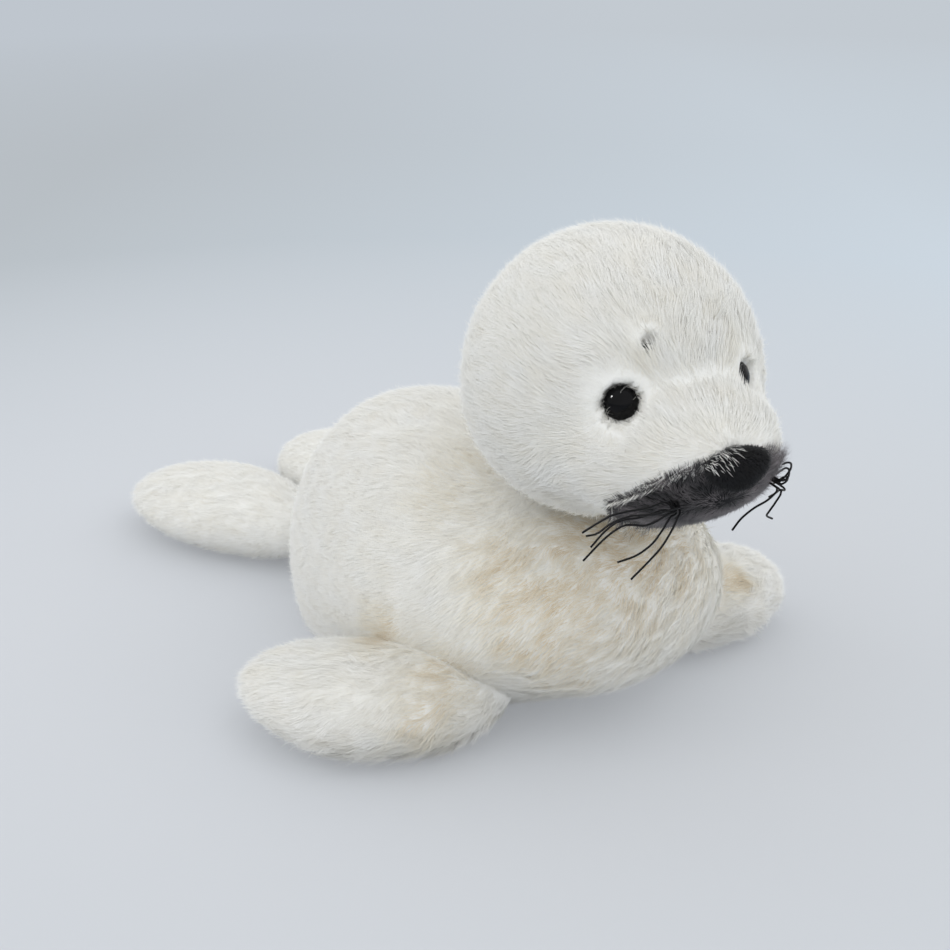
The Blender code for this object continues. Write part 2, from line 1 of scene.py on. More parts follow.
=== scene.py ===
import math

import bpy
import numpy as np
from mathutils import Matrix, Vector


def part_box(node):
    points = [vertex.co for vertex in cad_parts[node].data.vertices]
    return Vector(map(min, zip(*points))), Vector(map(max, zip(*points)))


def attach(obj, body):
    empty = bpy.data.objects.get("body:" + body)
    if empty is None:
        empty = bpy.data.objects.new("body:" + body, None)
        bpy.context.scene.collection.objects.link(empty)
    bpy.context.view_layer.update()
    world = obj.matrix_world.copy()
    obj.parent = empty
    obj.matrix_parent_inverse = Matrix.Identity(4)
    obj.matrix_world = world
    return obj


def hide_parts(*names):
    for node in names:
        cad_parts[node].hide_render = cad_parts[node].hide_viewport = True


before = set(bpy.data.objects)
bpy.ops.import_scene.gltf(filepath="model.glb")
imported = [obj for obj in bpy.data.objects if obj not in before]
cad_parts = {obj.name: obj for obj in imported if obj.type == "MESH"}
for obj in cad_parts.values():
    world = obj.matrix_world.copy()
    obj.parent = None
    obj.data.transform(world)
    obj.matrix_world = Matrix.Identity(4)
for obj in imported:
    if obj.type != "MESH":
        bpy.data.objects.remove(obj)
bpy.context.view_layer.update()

# Looks of the plush seal pup: skins, brushed pile drawn strand by strand, eyes, nose, threads,
# floor, light and camera.
# All sizes are in metres unless a name says otherwise. The seal looks along -Y and +X is its left.
# Angles on the head are in degrees: azimuth from straight ahead and elevation from level.

MM = 0.001

# Pile: the eyes and brows sit PILE below its tips. Brushed pile is dense up to FELT below the tips,
# so the skins stand for that felt and the strands for what is loose above it. Real fibres are
# 0.05 mm thick. They are drawn about four times as thick, because the render can't show thinner ones,
# so each strand stands for a lock of fibres.
PILE = 10 * MM
FELT = 2.8 * MM
ROOT_SINK = 0.8 * MM
STRAND_WIDTH = 0.19 * MM
FLOOR_CLEAR = 0.25 * MM
NAP_DEPTH = 0.9 * MM
NAP_LENGTH = 1.3 * MM
SNOUT_PILE = 8 * MM
SKULL_PILE = 11 * MM
MUZZLE_PILE = 4.2 * MM
MUZZLE_SHAG = 8.5 * MM
FIT_GAP = 0.3 * MM

# Torso, taken between its box's ends
TORSO_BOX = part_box("torso")
TORSO_FRONT_Y = TORSO_BOX[0][1]
TORSO_LENGTH = TORSO_BOX[1][1] - TORSO_BOX[0][1]
CHEST_HALF_WIDTH = 84 * MM
RUMP_HALF_WIDTH = 73 * MM
CHEST_HALF_HEIGHT = 54 * MM
RUMP_HALF_HEIGHT = 97 * MM
CHEST_CENTRE_Z = 56 * MM
RUMP_CENTRE_Z = 26 * MM
TORSO_FULLNESS = 0.67

# Head, hung from the top of its box
SKULL_RADIUS = 61 * MM
SKULL_ABOVE = 63.5 * MM
SKULL_BELOW = 54 * MM
HEAD_CENTRE = np.array([0, TORSO_FRONT_Y + 37.5 * MM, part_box("head")[1][2] - SKULL_ABOVE])
HEAD_TURN = math.radians(-10)
HEAD_TILT = math.radians(-2)
MUZZLE_RADII = np.array([42, 46, 29]) * MM
MUZZLE_CENTRE = np.array([0, -38, -13]) * MM
MELT = 12
SKULL_RADII = np.array([SKULL_RADIUS, SKULL_RADIUS, SKULL_ABOVE])
JAW_RADII = np.array([SKULL_RADIUS, SKULL_RADIUS, SKULL_BELOW])

# Dark muzzle panel
PANEL_HALF_ANGLE = 37
PANEL_SHOWN = 32.5
PANEL_TOP_ANGLE = -4
PANEL_TOP_FALL = 18
PANEL_LOW_ANGLE = -40
PANEL_LOW_RISE = 6
PANEL_TOP_CURVE = 2.2
PANEL_FELT = 2.8 * MM
PANEL_PAD = 2 * MM
PANEL_BED = 4.5 * MM

# Nose, eyes and brows
NOSE_RADII = np.array([13.5, 7, 8.2]) * MM
NOSE_ANGLE = -6
NOSE_SINK = 2 * MM
NOSE_TAPER = 0.28
NOSE_LEAN = 0.5
# Half angles, in degrees, that the nose covers
NOSE_WIDE = 8
NOSE_HIGH = 3.5
EYE_AZIMUTH = 29
EYE_ELEVATION = 11
EYE_RADIUS = 7 * MM
EYE_HEIGHT = 6 * MM
BROW_AZIMUTH = 16.5
BROW_ELEVATION = 32
BROW_RADIUS = 1.9 * MM
BROW_LENGTH = 5.5 * MM
# Hollows in the head's pile: azimuth, elevation, radii of the floor and of the rim, share of the
# pile's depth that they go down, and how much the pile parts round them. The pile closes over the
# left brow tuft and over the rim of the left eye.
HOLLOWS = ((-EYE_AZIMUTH, EYE_ELEVATION, 7.3 * MM, 8.4 * MM, 1, 0.95),
           (EYE_AZIMUTH, EYE_ELEVATION, 3.5 * MM, 8.4 * MM, 1, 0.2),
           (-BROW_AZIMUTH, BROW_ELEVATION, 1.6 * MM, 4.6 * MM, 1, 0.45),
           (BROW_AZIMUTH, BROW_ELEVATION, 1 * MM, 5 * MM, 0.4, 0))

# Flippers: the plan points of each one's middle line run from its root to its tip
FRONT_ROOT_INSIDE = 42 * MM
FRONT_ROOT_Y = TORSO_FRONT_Y + 58 * MM
FRONT_BEND = 31 * MM
FRONT_REACH = {"right": 32 * MM, "left": 43 * MM}
FRONT_SWEEP = {"right": 78 * MM, "left": 31 * MM}
FRONT_HALF_WIDTH = 38 * MM
FRONT_HALF_THICKNESS = 26 * MM
FRONT_FULLNESS = 0.33
HIND_ROOT_Y = TORSO_FRONT_Y + TORSO_LENGTH - 12 * MM
HIND_ROOT_APART = 26 * MM
HIND_TIP_APART = 54 * MM
HIND_LENGTH = 138 * MM
HIND_HALF_WIDTH = 41 * MM
HIND_HALF_THICKNESS = 24.5 * MM
HIND_FULLNESS = 0.42
FLIPPER_FLAT = 2.5 * MM
TIP_THINNING = 0.22
FLIPPER_ROOT_SHARE = 0.72

# Whiskers: six threads from a pit on each side of the muzzle. Routes are in mm from the head's
# centre, with x counted outwards from the middle.
WHISKER_DIAMETER = 0.8 * MM
WHISKER_AZIMUTH = 16
WHISKER_ELEVATION = -14.5
WHISKER_PIT_DEPTH = 8 * MM
WHISKER_RING = 1.5 * MM
WHISKER_LEAD = 0.5 * MM
WHISKER_PROUD = 0.8 * MM
WHISKER_RING_ANGLES = (-60, 0, None, 70, 135, 210)
WHISKER_ROUTES = {
    "right": [
        [(24.5, -81, -22), (28, -82.5, -25.5), (32, -83, -30), (36, -82, -34.5), (42, -79, -42)],
        [(26, -79, -22), (30.5, -80.5, -25.5), (34.5, -80.5, -29.5), (39.5, -78.5, -33.5),
         (45.5, -75.5, -36)],
        [(27, -79, -20.5), (32.5, -80, -21.5), (37.5, -80, -22), (42, -79, -21), (45.5, -77.5, -21.5),
         (50, -74, -26.5), (56, -70, -35)],
        [(28, -77, -19.5), (33.5, -78, -19.5), (39, -78, -19.5), (45, -76, -20), (49.5, -73.5, -24),
         (53.5, -71, -30)],
        [(27, -76.5, -17), (33.5, -76.5, -17.5), (41, -75.5, -17.5), (46.5, -73.5, -18.5),
         (51, -71, -21.5), (55.5, -68.5, -25)],
        [(25, -81, -18), (35.5, -82, -17.5), (44, -81, -16.5), (50.5, -79, -18.5), (54.5, -77, -22),
         (58, -75, -23)],
    ],
    "left": [
        [(20.5, -79, -22.5), (16, -79.5, -25), (10.5, -79, -27), (6.5, -77, -31), (5, -74, -36.5)],
        [(22.5, -79, -23.5), (19, -80.5, -26), (16.5, -80, -29.5), (18.5, -76.5, -33),
         (23.5, -73.5, -36.5)],
        [(23.5, -79, -22), (26, -76.5, -24.5), (28.5, -71, -27), (31, -65.5, -31), (33.5, -59, -35.5)],
        [(25, -78, -20.5), (28.5, -75, -20.5), (31, -69.5, -23), (34, -63, -27.5), (36.5, -56.5, -32)],
        [(25, -79, -18.5), (28.5, -75.5, -17.5), (32, -69.5, -19.5), (35.5, -63, -23.5),
         (38.5, -56.5, -28)],
        [(22.5, -79.5, -18), (26, -79, -15.5), (30, -74.5, -15.5), (34, -67.5, -18.5),
         (38, -60.5, -22.5)],
    ],
}

# Strands in each coat, three triangles apiece
HEAD_STRANDS = 94000
TORSO_STRANDS = 104000
FRONT_STRANDS = 22000
HIND_STRANDS = 17000
MUZZLE_STRANDS = 15000
NOSE_STRANDS = 7000
BROW_STRANDS = 90
EYE_HAIRS = 16
NOSE_HAIRS = 130
EYE_HAIR_STEPS = 10
COAT_LIMIT = 62000

# Share of a surface left between its end rings and its poles
POLE_GAP = 1e-4

# Camera at the photograph's angle
VIEW_AZIMUTH = -37.35
VIEW_ELEVATION = 22.08
VIEW_DISTANCE = 0.6
VIEW_TARGET = Vector((-0.0273, -0.063, 0.1012))
LENS = 53.29
SENSOR = 36

# Light from the picture's upper left, filled from its right
KEY_DIRECTION = (-0.83, 0.11, 0.6)
FILL_DIRECTION = (0.6, -0.6, 0.5)
CATCH_DISTANCE = 1.1
CATCH_SIZE = 0.16

SIDES = {"right": -1, "left": 1}


def smooth_step(x, low, high):
    """Rises from 0 at low to 1 at high with level ends."""
    s = np.clip((x - low) / (high - low), 0, 1)
    return s * s * (3 - 2 * s)


def unit(vectors):
    """Vectors of length 1."""
    return vectors / np.maximum(np.linalg.norm(vectors, axis=-1, keepdims=True), 1e-12)


def waves(points, size, seed):
    """Smooth noise from about -1 to 1: twelve sine waves in random directions, one size long."""
    rng = np.random.default_rng(seed)
    ways = unit(rng.normal(size=(12, 3))) * 2 * np.pi / size
    starts = rng.uniform(0, 2 * np.pi, 12)
    return np.sin(points @ ways.T + starts).sum(axis=-1) / 3.5


# Shapes


def torso_section(t, inset=0.0):
    """Middle height, half width and half height of the torso at t, 0 at the chest to 1 at the rump."""
    rear = smooth_step(t, 0.2, 0.8)
    round_end = np.sin(np.pi * np.clip(t, 0, 1)) ** TORSO_FULLNESS
    middle = CHEST_CENTRE_Z + (RUMP_CENTRE_Z - CHEST_CENTRE_Z) * rear
    half_width = (CHEST_HALF_WIDTH + (RUMP_HALF_WIDTH - CHEST_HALF_WIDTH) * rear) * round_end
    half_height = (CHEST_HALF_HEIGHT + (RUMP_HALF_HEIGHT - CHEST_HALF_HEIGHT) * rear) * round_end
    shrink = inset * np.sqrt(round_end)
    return middle, half_width - shrink, half_height - shrink


def torso_shape(u, v, inset=0.0):
    """Ellipse sections along Y: u from chest to rump, closer together at the ends, v once round."""
    middle, half_width, half_height = torso_section(u, inset)
    length = TORSO_LENGTH - 2 * inset
    y = TORSO_FRONT_Y + inset + length * (1 - np.cos(np.pi * u)) / 2
    angle = 2 * np.pi * v
    return np.stack([half_width * np.cos(angle), y, middle + half_height * np.sin(angle)], axis=-1)


def in_torso(points, margin):
    """True where points lie deeper than margin inside the torso's envelope."""
    share = np.clip(1 - 2 * (points[..., 1] - TORSO_FRONT_Y) / TORSO_LENGTH, -1, 1)
    middle, half_width, half_height = torso_section(np.arccos(share) / np.pi)
    wide = points[..., 0] / np.maximum(half_width - margin, 1e-6)
    high = (points[..., 2] - middle) / np.maximum(half_height - margin, 1e-6)
    inside = (points[..., 1] > TORSO_FRONT_Y + margin) & (np.abs(share) < 1)
    return inside & (wide ** 2 + high ** 2 < 1)


def ellipsoid_distance(direction, centre, radii):
    """Distance along each direction, from the head's centre, to the far side of an ellipsoid."""
    a = np.sum((direction / radii) ** 2, axis=-1)
    b = np.sum(direction * centre / radii ** 2, axis=-1)
    c = np.sum((centre / radii) ** 2) - 1
    root = b * b - a * c
    return np.where(root > 0, (b + np.sqrt(np.maximum(root, 0))) / a, 0)


def head_distance(direction):
    """The skull and the muzzle melted together: a high power mean of the two distances.

    The skull is half of one ellipsoid above its middle and half of a flatter one below.
    """
    above = ellipsoid_distance(direction, np.zeros(3), SKULL_RADII)
    below = ellipsoid_distance(direction, np.zeros(3), JAW_RADII)
    skull = np.where(direction[..., 2] > 0, above, below)
    muzzle = ellipsoid_distance(direction, MUZZLE_CENTRE, MUZZLE_RADII)
    return (skull ** MELT + muzzle ** MELT) ** (1 / MELT)


def head_direction(azimuth, elevation):
    """Unit direction from the head's centre, from two angles in radians."""
    level = np.cos(elevation)
    ahead = -np.cos(azimuth) * level
    return np.stack([np.sin(azimuth) * level, ahead, np.sin(elevation) + 0 * azimuth], axis=-1)


def head_angles(local):
    """Azimuth and elevation in degrees of places given from the head's centre."""
    way = unit(local)
    azimuth = np.degrees(np.arctan2(way[..., 0], -way[..., 1]))
    return azimuth, np.degrees(np.arcsin(np.clip(way[..., 2], -1, 1)))


HEAD_ROTATION = np.array(Matrix.Rotation(HEAD_TURN, 3, "Z") @ Matrix.Rotation(HEAD_TILT, 3, "Y"))


def from_head(local):
    """Places given from the head's centre, in the seal's own frame."""
    return local @ HEAD_ROTATION.T + HEAD_CENTRE


def to_head(points):
    """Places in the seal's frame, given from the head's centre."""
    return (points - HEAD_CENTRE) @ HEAD_ROTATION


def on_head(azimuth, elevation, sink=0.0):
    """Local place on the head's envelope, angles in degrees, and the outward direction there."""
    direction = head_direction(np.radians(azimuth), np.radians(elevation))
    return direction * (head_distance(direction) - sink)[..., None], direction


def panel_edges(azimuth):
    """Elevations, in degrees, of the muzzle panel's upper and lower edge at an azimuth in degrees."""
    side = np.clip(np.abs(azimuth) / PANEL_HALF_ANGLE, 0, 1)
    top = PANEL_TOP_ANGLE - PANEL_TOP_FALL * side ** PANEL_TOP_CURVE
    low = PANEL_LOW_ANGLE + PANEL_LOW_RISE * side ** 2
    half = (top - low) / 2 * np.sqrt(1 - side ** 4)
    return (top + low) / 2 + half, (top + low) / 2 - half


def in_panel(direction):
    """True for directions through the muzzle panel or the nose."""
    azimuth, elevation = head_angles(direction)
    top, low = panel_edges(azimuth)
    panel = (np.abs(azimuth) < PANEL_SHOWN) & (elevation < top) & (elevation > low)
    return panel | ((azimuth / NOSE_WIDE) ** 2 + ((elevation - NOSE_ANGLE) / NOSE_HIGH) ** 2 < 1)


def head_hollow(direction):
    """From 0 to 1: how far the pile is pressed down to its backing, round each eye and brow tuft."""
    hollow = np.zeros(direction.shape[:-1])
    for azimuth, elevation, near, far, depth, _ in HOLLOWS:
        place, outward = on_head(azimuth, elevation)
        apart = np.linalg.norm(direction - outward, axis=-1) * np.linalg.norm(place)
        hollow = np.maximum(hollow, depth * (1 - smooth_step(apart, near, far)))
    return hollow


def head_shape(u, v, inset=0.0):
    """The head on a globe's grid: u from below to above, v once round, closer over the face."""
    turn = 2 * np.pi * v
    direction = head_direction(turn - 0.45 * np.sin(turn), np.pi * (u - 0.5))
    pressed = (PILE - FELT) * head_hollow(direction) + PANEL_BED * in_panel(direction)
    sink = inset + pressed * (inset > 0)
    return from_head(direction * (head_distance(direction) - sink)[..., None])


def in_head(points, margin):
    """True where points lie deeper than margin inside the head's envelope."""
    local = to_head(points)
    return np.linalg.norm(local, axis=-1) < head_distance(unit(local)) - margin


def panel_shape(u, v, inset=0.0):
    """The muzzle panel's outer face: u from end to end, v from its lower to its upper edge."""
    azimuth = PANEL_HALF_ANGLE * np.sin(np.pi * (u - 0.5))
    top, low = panel_edges(azimuth)
    direction = head_direction(np.radians(azimuth), np.radians(low + (top - low) * v))
    return from_head(direction * (head_distance(direction) - inset)[..., None])


def panel_pad_shape(u, v, inset=0.0):
    """The panel's backing as a closed pillow: u from end to end, v once round its two faces."""
    turn = 2 * np.pi * v
    sink = PANEL_FELT + PANEL_PAD + inset - PANEL_PAD * np.sin(turn) * np.sin(np.pi * u) ** 0.5
    return panel_shape(u, 0.5 + np.cos(turn) / 2, sink)


def nose_shape(u, v, inset=0.0):
    """A rounded pad, wider above than below: u from front to back, v once round."""
    place, outward = on_head(0, NOSE_ANGLE, NOSE_SINK)
    radii = NOSE_RADII - inset
    turn, back = 2 * np.pi * v, np.pi * u
    high = np.sin(turn) * np.sin(back)
    x = radii[0] * np.cos(turn) * np.sin(back) * (1 + NOSE_TAPER * high)
    lean = -math.asin(outward[2]) * NOSE_LEAN
    y, z = -radii[1] * np.cos(back), radii[2] * high
    turned = np.stack([x, y * math.cos(lean) - z * math.sin(lean),
                       y * math.sin(lean) + z * math.cos(lean)], axis=-1)
    return from_head(turned + place)


def flipper_shape(root, bend, tip, half_width, half_thickness, fullness):
    """Returns a flipper's surface function: u from root to tip, v once round.

    Ellipse sections stand across a curved line in plan, wide past the middle. The lower its
    fullness, the blunter its ends.
    """
    root, bend, tip = (np.array(point) for point in (root, bend, tip))

    def shape(u, v, inset=0.0):
        share = u[..., None]
        middle = (1 - share) ** 2 * root + 2 * share * (1 - share) * bend + share ** 2 * tip
        ahead = unit((1 - share) * (bend - root) + share * (tip - bend))
        across = np.stack([-ahead[..., 1], ahead[..., 0]], axis=-1)
        middle = middle + ahead * inset * (1 - 2 * share)
        closing = (4 * u * (1 - u)) ** fullness
        fuller = FLIPPER_ROOT_SHARE + (1 - FLIPPER_ROOT_SHARE) * smooth_step(u, 0, 0.7)
        shrink = inset * np.sqrt(closing)
        spread = half_width * closing * fuller - shrink
        thick = half_thickness * closing * (1 - TIP_THINNING * u) - shrink
        angle = 2 * np.pi * v
        plan = middle + across * (spread * np.cos(angle))[..., None]
        rest = (half_thickness - FLIPPER_FLAT) * (1 - TIP_THINNING * u)
        return np.concatenate([plan, (rest + thick * np.sin(angle))[..., None]], axis=-1)

    return shape


def front_flipper(side):
    """Front flipper: leaves the chest sideways and sweeps back."""
    way = SIDES[side]
    share = 1 - 2 * (FRONT_ROOT_Y - TORSO_FRONT_Y) / TORSO_LENGTH
    flank = torso_section(np.arccos(share) / np.pi)[1]
    root = (way * (flank - FRONT_ROOT_INSIDE), FRONT_ROOT_Y)
    bend = (way * (flank + FRONT_BEND), FRONT_ROOT_Y)
    tip = (way * (flank + FRONT_REACH[side]), FRONT_ROOT_Y + FRONT_SWEEP[side])
    return flipper_shape(root, bend, tip, FRONT_HALF_WIDTH, FRONT_HALF_THICKNESS, FRONT_FULLNESS)


def hind_flipper(side):
    """Hind flipper: leaves the rump backwards and a little outwards."""
    way = SIDES[side]
    root = (way * HIND_ROOT_APART, HIND_ROOT_Y)
    tip = (way * HIND_TIP_APART, HIND_ROOT_Y + HIND_LENGTH)
    bend = (way * (HIND_ROOT_APART + HIND_TIP_APART) / 2, HIND_ROOT_Y + HIND_LENGTH / 2)
    return flipper_shape(root, bend, tip, HIND_HALF_WIDTH, HIND_HALF_THICKNESS, HIND_FULLNESS)


# Meshes


def mesh_object(name, points, triangles, finish):
    """An object at the origin from whole arrays of points and triangles."""
    mesh = bpy.data.meshes.new(name)
    mesh.vertices.add(len(points))
    mesh.loops.add(triangles.size)
    mesh.polygons.add(len(triangles))
    mesh.vertices.foreach_set("co", np.ascontiguousarray(points, np.float32).ravel())
    mesh.loops.foreach_set("vertex_index", np.ascontiguousarray(triangles, np.int32).ravel())
    mesh.polygons.foreach_set("loop_start", np.arange(0, triangles.size, 3, dtype=np.int32))
    mesh.update(calc_edges=True)
    mesh.shade_smooth()
    mesh.materials.append(finish)
    made = bpy.data.objects.new(name, mesh)
    bpy.context.collection.objects.link(made)
    return made


def add_chart(made, triangles, chart):
    """Puts a place on the tint chart, the map OFBake, at each point."""
    layer = made.data.uv_layers.new(name="OFBake")
    layer.data.foreach_set("uv", chart[triangles.ravel()].astype(np.float32).ravel())


def closed_surface(name, shape, steps, finish, inset=0.0, floor=None):
    """A closed skin: rings of a shape's points, each end drawn together in one pole point."""
    count, around = steps
    along = np.linspace(POLE_GAP, 1 - POLE_GAP, count)
    u, v = np.meshgrid(along, np.arange(around) / around, indexing="ij")
    rings = shape(u, v, inset)
    if floor is not None:
        rings[..., 2] = np.maximum(rings[..., 2], floor)
    points = np.concatenate([rings.reshape(-1, 3), rings[:1].mean(axis=1), rings[-1:].mean(axis=1)])
    index = np.arange(count * around).reshape(count, around)
    turned = np.roll(index, -1, axis=1)
    lower = np.stack([index[:-1], turned[:-1], turned[1:]], axis=-1).reshape(-1, 3)
    upper = np.stack([index[:-1], turned[1:], index[1:]], axis=-1).reshape(-1, 3)
    first = np.stack([np.full(around, count * around), turned[0], index[0]], axis=-1)
    last = np.stack([np.full(around, count * around + 1), index[-1], turned[-1]], axis=-1)
    triangles = np.concatenate([lower, upper, first, last])
    corners = points[triangles]
    volume = np.sum(corners[:, 0] * np.cross(corners[:, 1], corners[:, 2]))
    if volume < 0:
        triangles = triangles[:, ::-1]
    return mesh_object(name, points, triangles, finish)


def outward_normals(shape, u, v, inset):
    """Normals by small steps on the surface, turned to the side where the envelope lies."""
    step = 1e-3
    along = shape(u + step, v, inset) - shape(u - step, v, inset)
    around = shape(u, v + step, inset) - shape(u, v - step, inset)
    across = np.cross(along, around)
    area = np.linalg.norm(across, axis=-1)
    out = shape(u, v, inset - MM) - shape(u, v, inset)
    return unit(across) * np.sign(np.sum(across * out, axis=-1))[..., None], area


def scatter(shape, count, inset, keep, seed):
    """Roots spread evenly over a surface: random places, each kept by its share of the area.

    keep gives a density from 0 to 1 for places. Returns roots and their normals.
    """
    rng = np.random.default_rng(seed)
    roots, normals, most, found = [], [], None, 0
    while found < count:
        u, v = rng.uniform(0.004, 0.996, 4 * count), rng.uniform(0, 1, 4 * count)
        points = shape(u, v, inset)
        normal, area = outward_normals(shape, u, v, inset)
        most = most or area.max()
        chosen = rng.uniform(0, most, len(u)) < area * keep(points)
        roots.append(points[chosen])
        normals.append(normal[chosen])
        found += int(chosen.sum())
    return np.concatenate(roots)[:count], np.concatenate(normals)[:count]


def turned_in_plane(flow, normals, angle):
    """Flow turned about the normals by an angle in radians, in whole arrays."""
    side = np.cross(normals, flow)
    return flow * np.cos(angle)[:, None] + side * np.sin(angle)[:, None]


def lock_shift(roots, normals, size, seed):
    """How far each root lies from the middle of its lock, within the surface.

    Locks are the cells of a cubic grid whose walls are bent by smooth noise.
    """
    bend = np.stack([waves(roots, 3 * size, seed + k) for k in range(3)], axis=-1) * 0.5 * size
    cell = np.floor((roots + bend) / size)
    jitter = np.sin(cell @ np.array([[12.9, 39.3, 73.2], [78.2, 11.1, 52.2], [37.7, 83.1, 9.5]])) * 0.3
    shift = (cell + 0.5 + jitter) * size - bend - roots
    return shift - normals * np.sum(shift * normals, axis=-1, keepdims=True)


def strand_coat(name, roots, normals, flow, length, finish, seed, *, width=STRAND_WIDTH,
                rise=(0.3, 0.08), lock=0.08, lock_size=4 * MM, tint=0.0, soft=0.97,
                scatter_angle=0.14):
    """Pile as bent ribbons of three triangles: a root edge, a middle edge and a tip.

    Each leaves its root by the normal plus the flow and then lies over along the flow. The middle
    and the tip are drawn by lock, a share, towards the middle of the strand's lock. Shading normals
    lean to the skin's normal by soft. The chart has the tint across and the place from root to tip
    up. Single fibres let light through, so only the felt under them casts shadows.
    """
    rng = np.random.default_rng(seed)
    count = len(roots)
    tangent = unit(flow - normals * np.sum(flow * normals, axis=-1, keepdims=True))
    angle = rng.normal(0, scatter_angle, count)
    tangent = turned_in_plane(tangent, normals, angle)
    length = length * rng.uniform(0.75, 1.25, count)
    first_rise = rise[0] * rng.uniform(0.75, 1.25, count)
    last_rise = rise[1] * rng.exponential(1.5, count)
    leave = unit(normals * first_rise[:, None] + tangent * 0.75)
    settle = unit(normals * last_rise[:, None] + tangent)
    pull = lock_shift(roots, normals, lock_size, seed + 50) * np.reshape(lock, (-1, 1))
    middle = roots + leave * (0.45 * length)[:, None] + 0.5 * pull
    tip = middle + settle * (0.55 * length)[:, None] + 0.5 * pull
    twist = rng.normal(0, 0.15, count)
    broad = unit(np.cross(settle, normals))
    broad = broad * np.cos(twist)[:, None] + np.cross(settle, broad) * np.sin(twist)[:, None]
    half = width / 2 * rng.uniform(0.7, 1.3, count)[:, None]
    corners = np.stack([roots - broad * half * 0.7, roots + broad * half * 0.7,
                        middle - broad * half, middle + broad * half, tip], axis=1)
    corners[..., 2] = np.maximum(corners[..., 2], FLOOR_CLEAR * rng.uniform(1, 4, (count, 1)))
    start = 5 * np.arange(count)[:, None, None]
    triangles = (start + np.array([[0, 1, 3], [0, 3, 2], [2, 3, 4]])).reshape(-1, 3)
    facing = np.cross(broad, settle)
    facing = facing * np.sign(np.sum(facing * normals, axis=-1, keepdims=True))
    first = corners[:, 0]
    turned = np.cross(corners[:, 1] - first, corners[:, 3] - first)
    inside_out = np.repeat(np.sum(turned * normals, axis=-1) < 0, 3)
    triangles[inside_out] = triangles[inside_out][:, ::-1]
    made = mesh_object(name, corners.reshape(-1, 3), triangles, finish)
    lean = unit(soft * normals + (1 - soft) * facing)
    made.data.normals_split_custom_set_from_vertices(np.repeat(lean, 5, axis=0))
    shade = np.clip(tint + rng.uniform(0, 0.06, count), 0.01, 0.98)
    lighter = rng.uniform(0, 0.2, count)
    across = np.repeat(shade[:, None], 5, axis=1) + np.array([-0.004, 0.004, -0.004, 0.004, 0])
    up = lighter[:, None] + np.array([0.02, 0.02, 0.4, 0.4, 0.78])
    add_chart(made, triangles, np.stack([across, up], axis=-1).reshape(-1, 2))
    made.visible_shadow = False
    return made


# Materials


def linear(colour):
    """Linear RGBA from an sRGB hex colour."""
    channels = [int(colour[i:i + 2], 16) / 255 for i in (0, 2, 4)]
    return (*[c / 12.92 if c <= 0.04045 else ((c + 0.055) / 1.055) ** 2.4 for c in channels], 1)


def node(tree, kind, settings=None, links=None):
    """Adds a node: settings sets its properties and sockets, links joins sockets to other outputs."""
    made = tree.nodes.new(kind)
    for key, value in (settings or {}).items():
        if isinstance(key, int) or key in made.inputs:
            made.inputs[key].default_value = value
        else:
            setattr(made, key, value)
    for key, output in (links or {}).items():
        tree.links.new(output, made.inputs[key])
    return made


def ramp(tree, factor, stops):
    """Colour ramp over a factor from (place, sRGB hex) stops."""
    made = node(tree, "ShaderNodeValToRGB", links={0: factor})
    band = made.color_ramp
    while len(band.elements) < len(stops):
        band.elements.new(0.5)
    for element, (place, colour) in zip(band.elements, stops):
        element.position = place
        element.color = linear(colour)
    return made.outputs["Color"]


def mixed(tree, factor, first, second):
    """Colour mix of two colour outputs by a factor output."""
    made = node(tree, "ShaderNodeMix", {"data_type": "RGBA"}, {0: factor, 6: first, 7: second})
    return made.outputs[2]


def new_material(name, roughness, **sockets):
    """A Principled material with constants on the shader's own sockets."""
    made = bpy.data.materials.new(name)
    made.use_nodes = True
    shader = made.node_tree.nodes["Principled BSDF"]
    shader.inputs["Roughness"].default_value = roughness
    for key, value in sockets.items():
        shader.inputs[key.replace("_", " ")].default_value = value
    return made, made.node_tree, shader


def pile_material(name, roots, tips, roughness, sheen):
    """Brushed polyester pile: matt fibres with a soft sheen, darker and warmer down at their roots.

    The chart's first direction picks the tint and its second runs from root to tip.
    """
    made, tree, shader = new_material(name, roughness, Sheen_Weight=sheen, Sheen_Roughness=0.5,
                                      Specular_IOR_Level=0.25)
    chart = node(tree, "ShaderNodeUVMap", {"uv_map": "OFBake"})
    split = node(tree, "ShaderNodeSeparateXYZ", links={0: chart.outputs[0]})
    low, high = ramp(tree, split.outputs[0], roots), ramp(tree, split.outputs[0], tips)
    rise = node(tree, "ShaderNodeMapRange", {"interpolation_type": "SMOOTHSTEP", 1: 0.1, 2: 0.8},
                {0: split.outputs[1]})
    tree.links.new(mixed(tree, rise.outputs[0], low, high), shader.inputs["Base Color"])
    return made


def patterned(name, roughness, colour, stops, relief=None, bump=(0, 0), **sockets):
    """A material with a noise pattern on Object coordinates for its colour and one for its relief.

    A pattern is its node's settings, and one with a direction is bands. The bump is its strength
    and its depth in mm. Without a relief of its own, the colour's pattern is the relief too.
    """
    made, tree, shader = new_material(name, roughness, **sockets)
    place = node(tree, "ShaderNodeTexCoord").outputs["Object"]

    def pattern(settings):
        kind = "ShaderNodeTexWave" if "bands_direction" in settings else "ShaderNodeTexNoise"
        return node(tree, kind, settings, {"Vector": place}).outputs["Fac"]

    shade = pattern(colour)
    tree.links.new(ramp(tree, shade, stops), shader.inputs["Base Color"])
    if bump[0]:
        height = pattern(relief) if relief else shade
        raised = node(tree, "ShaderNodeBump", {"Strength": bump[0], "Distance": bump[1] * MM},
                      {"Height": height})
        tree.links.new(raised.outputs[0], shader.inputs["Normal"])
    return made


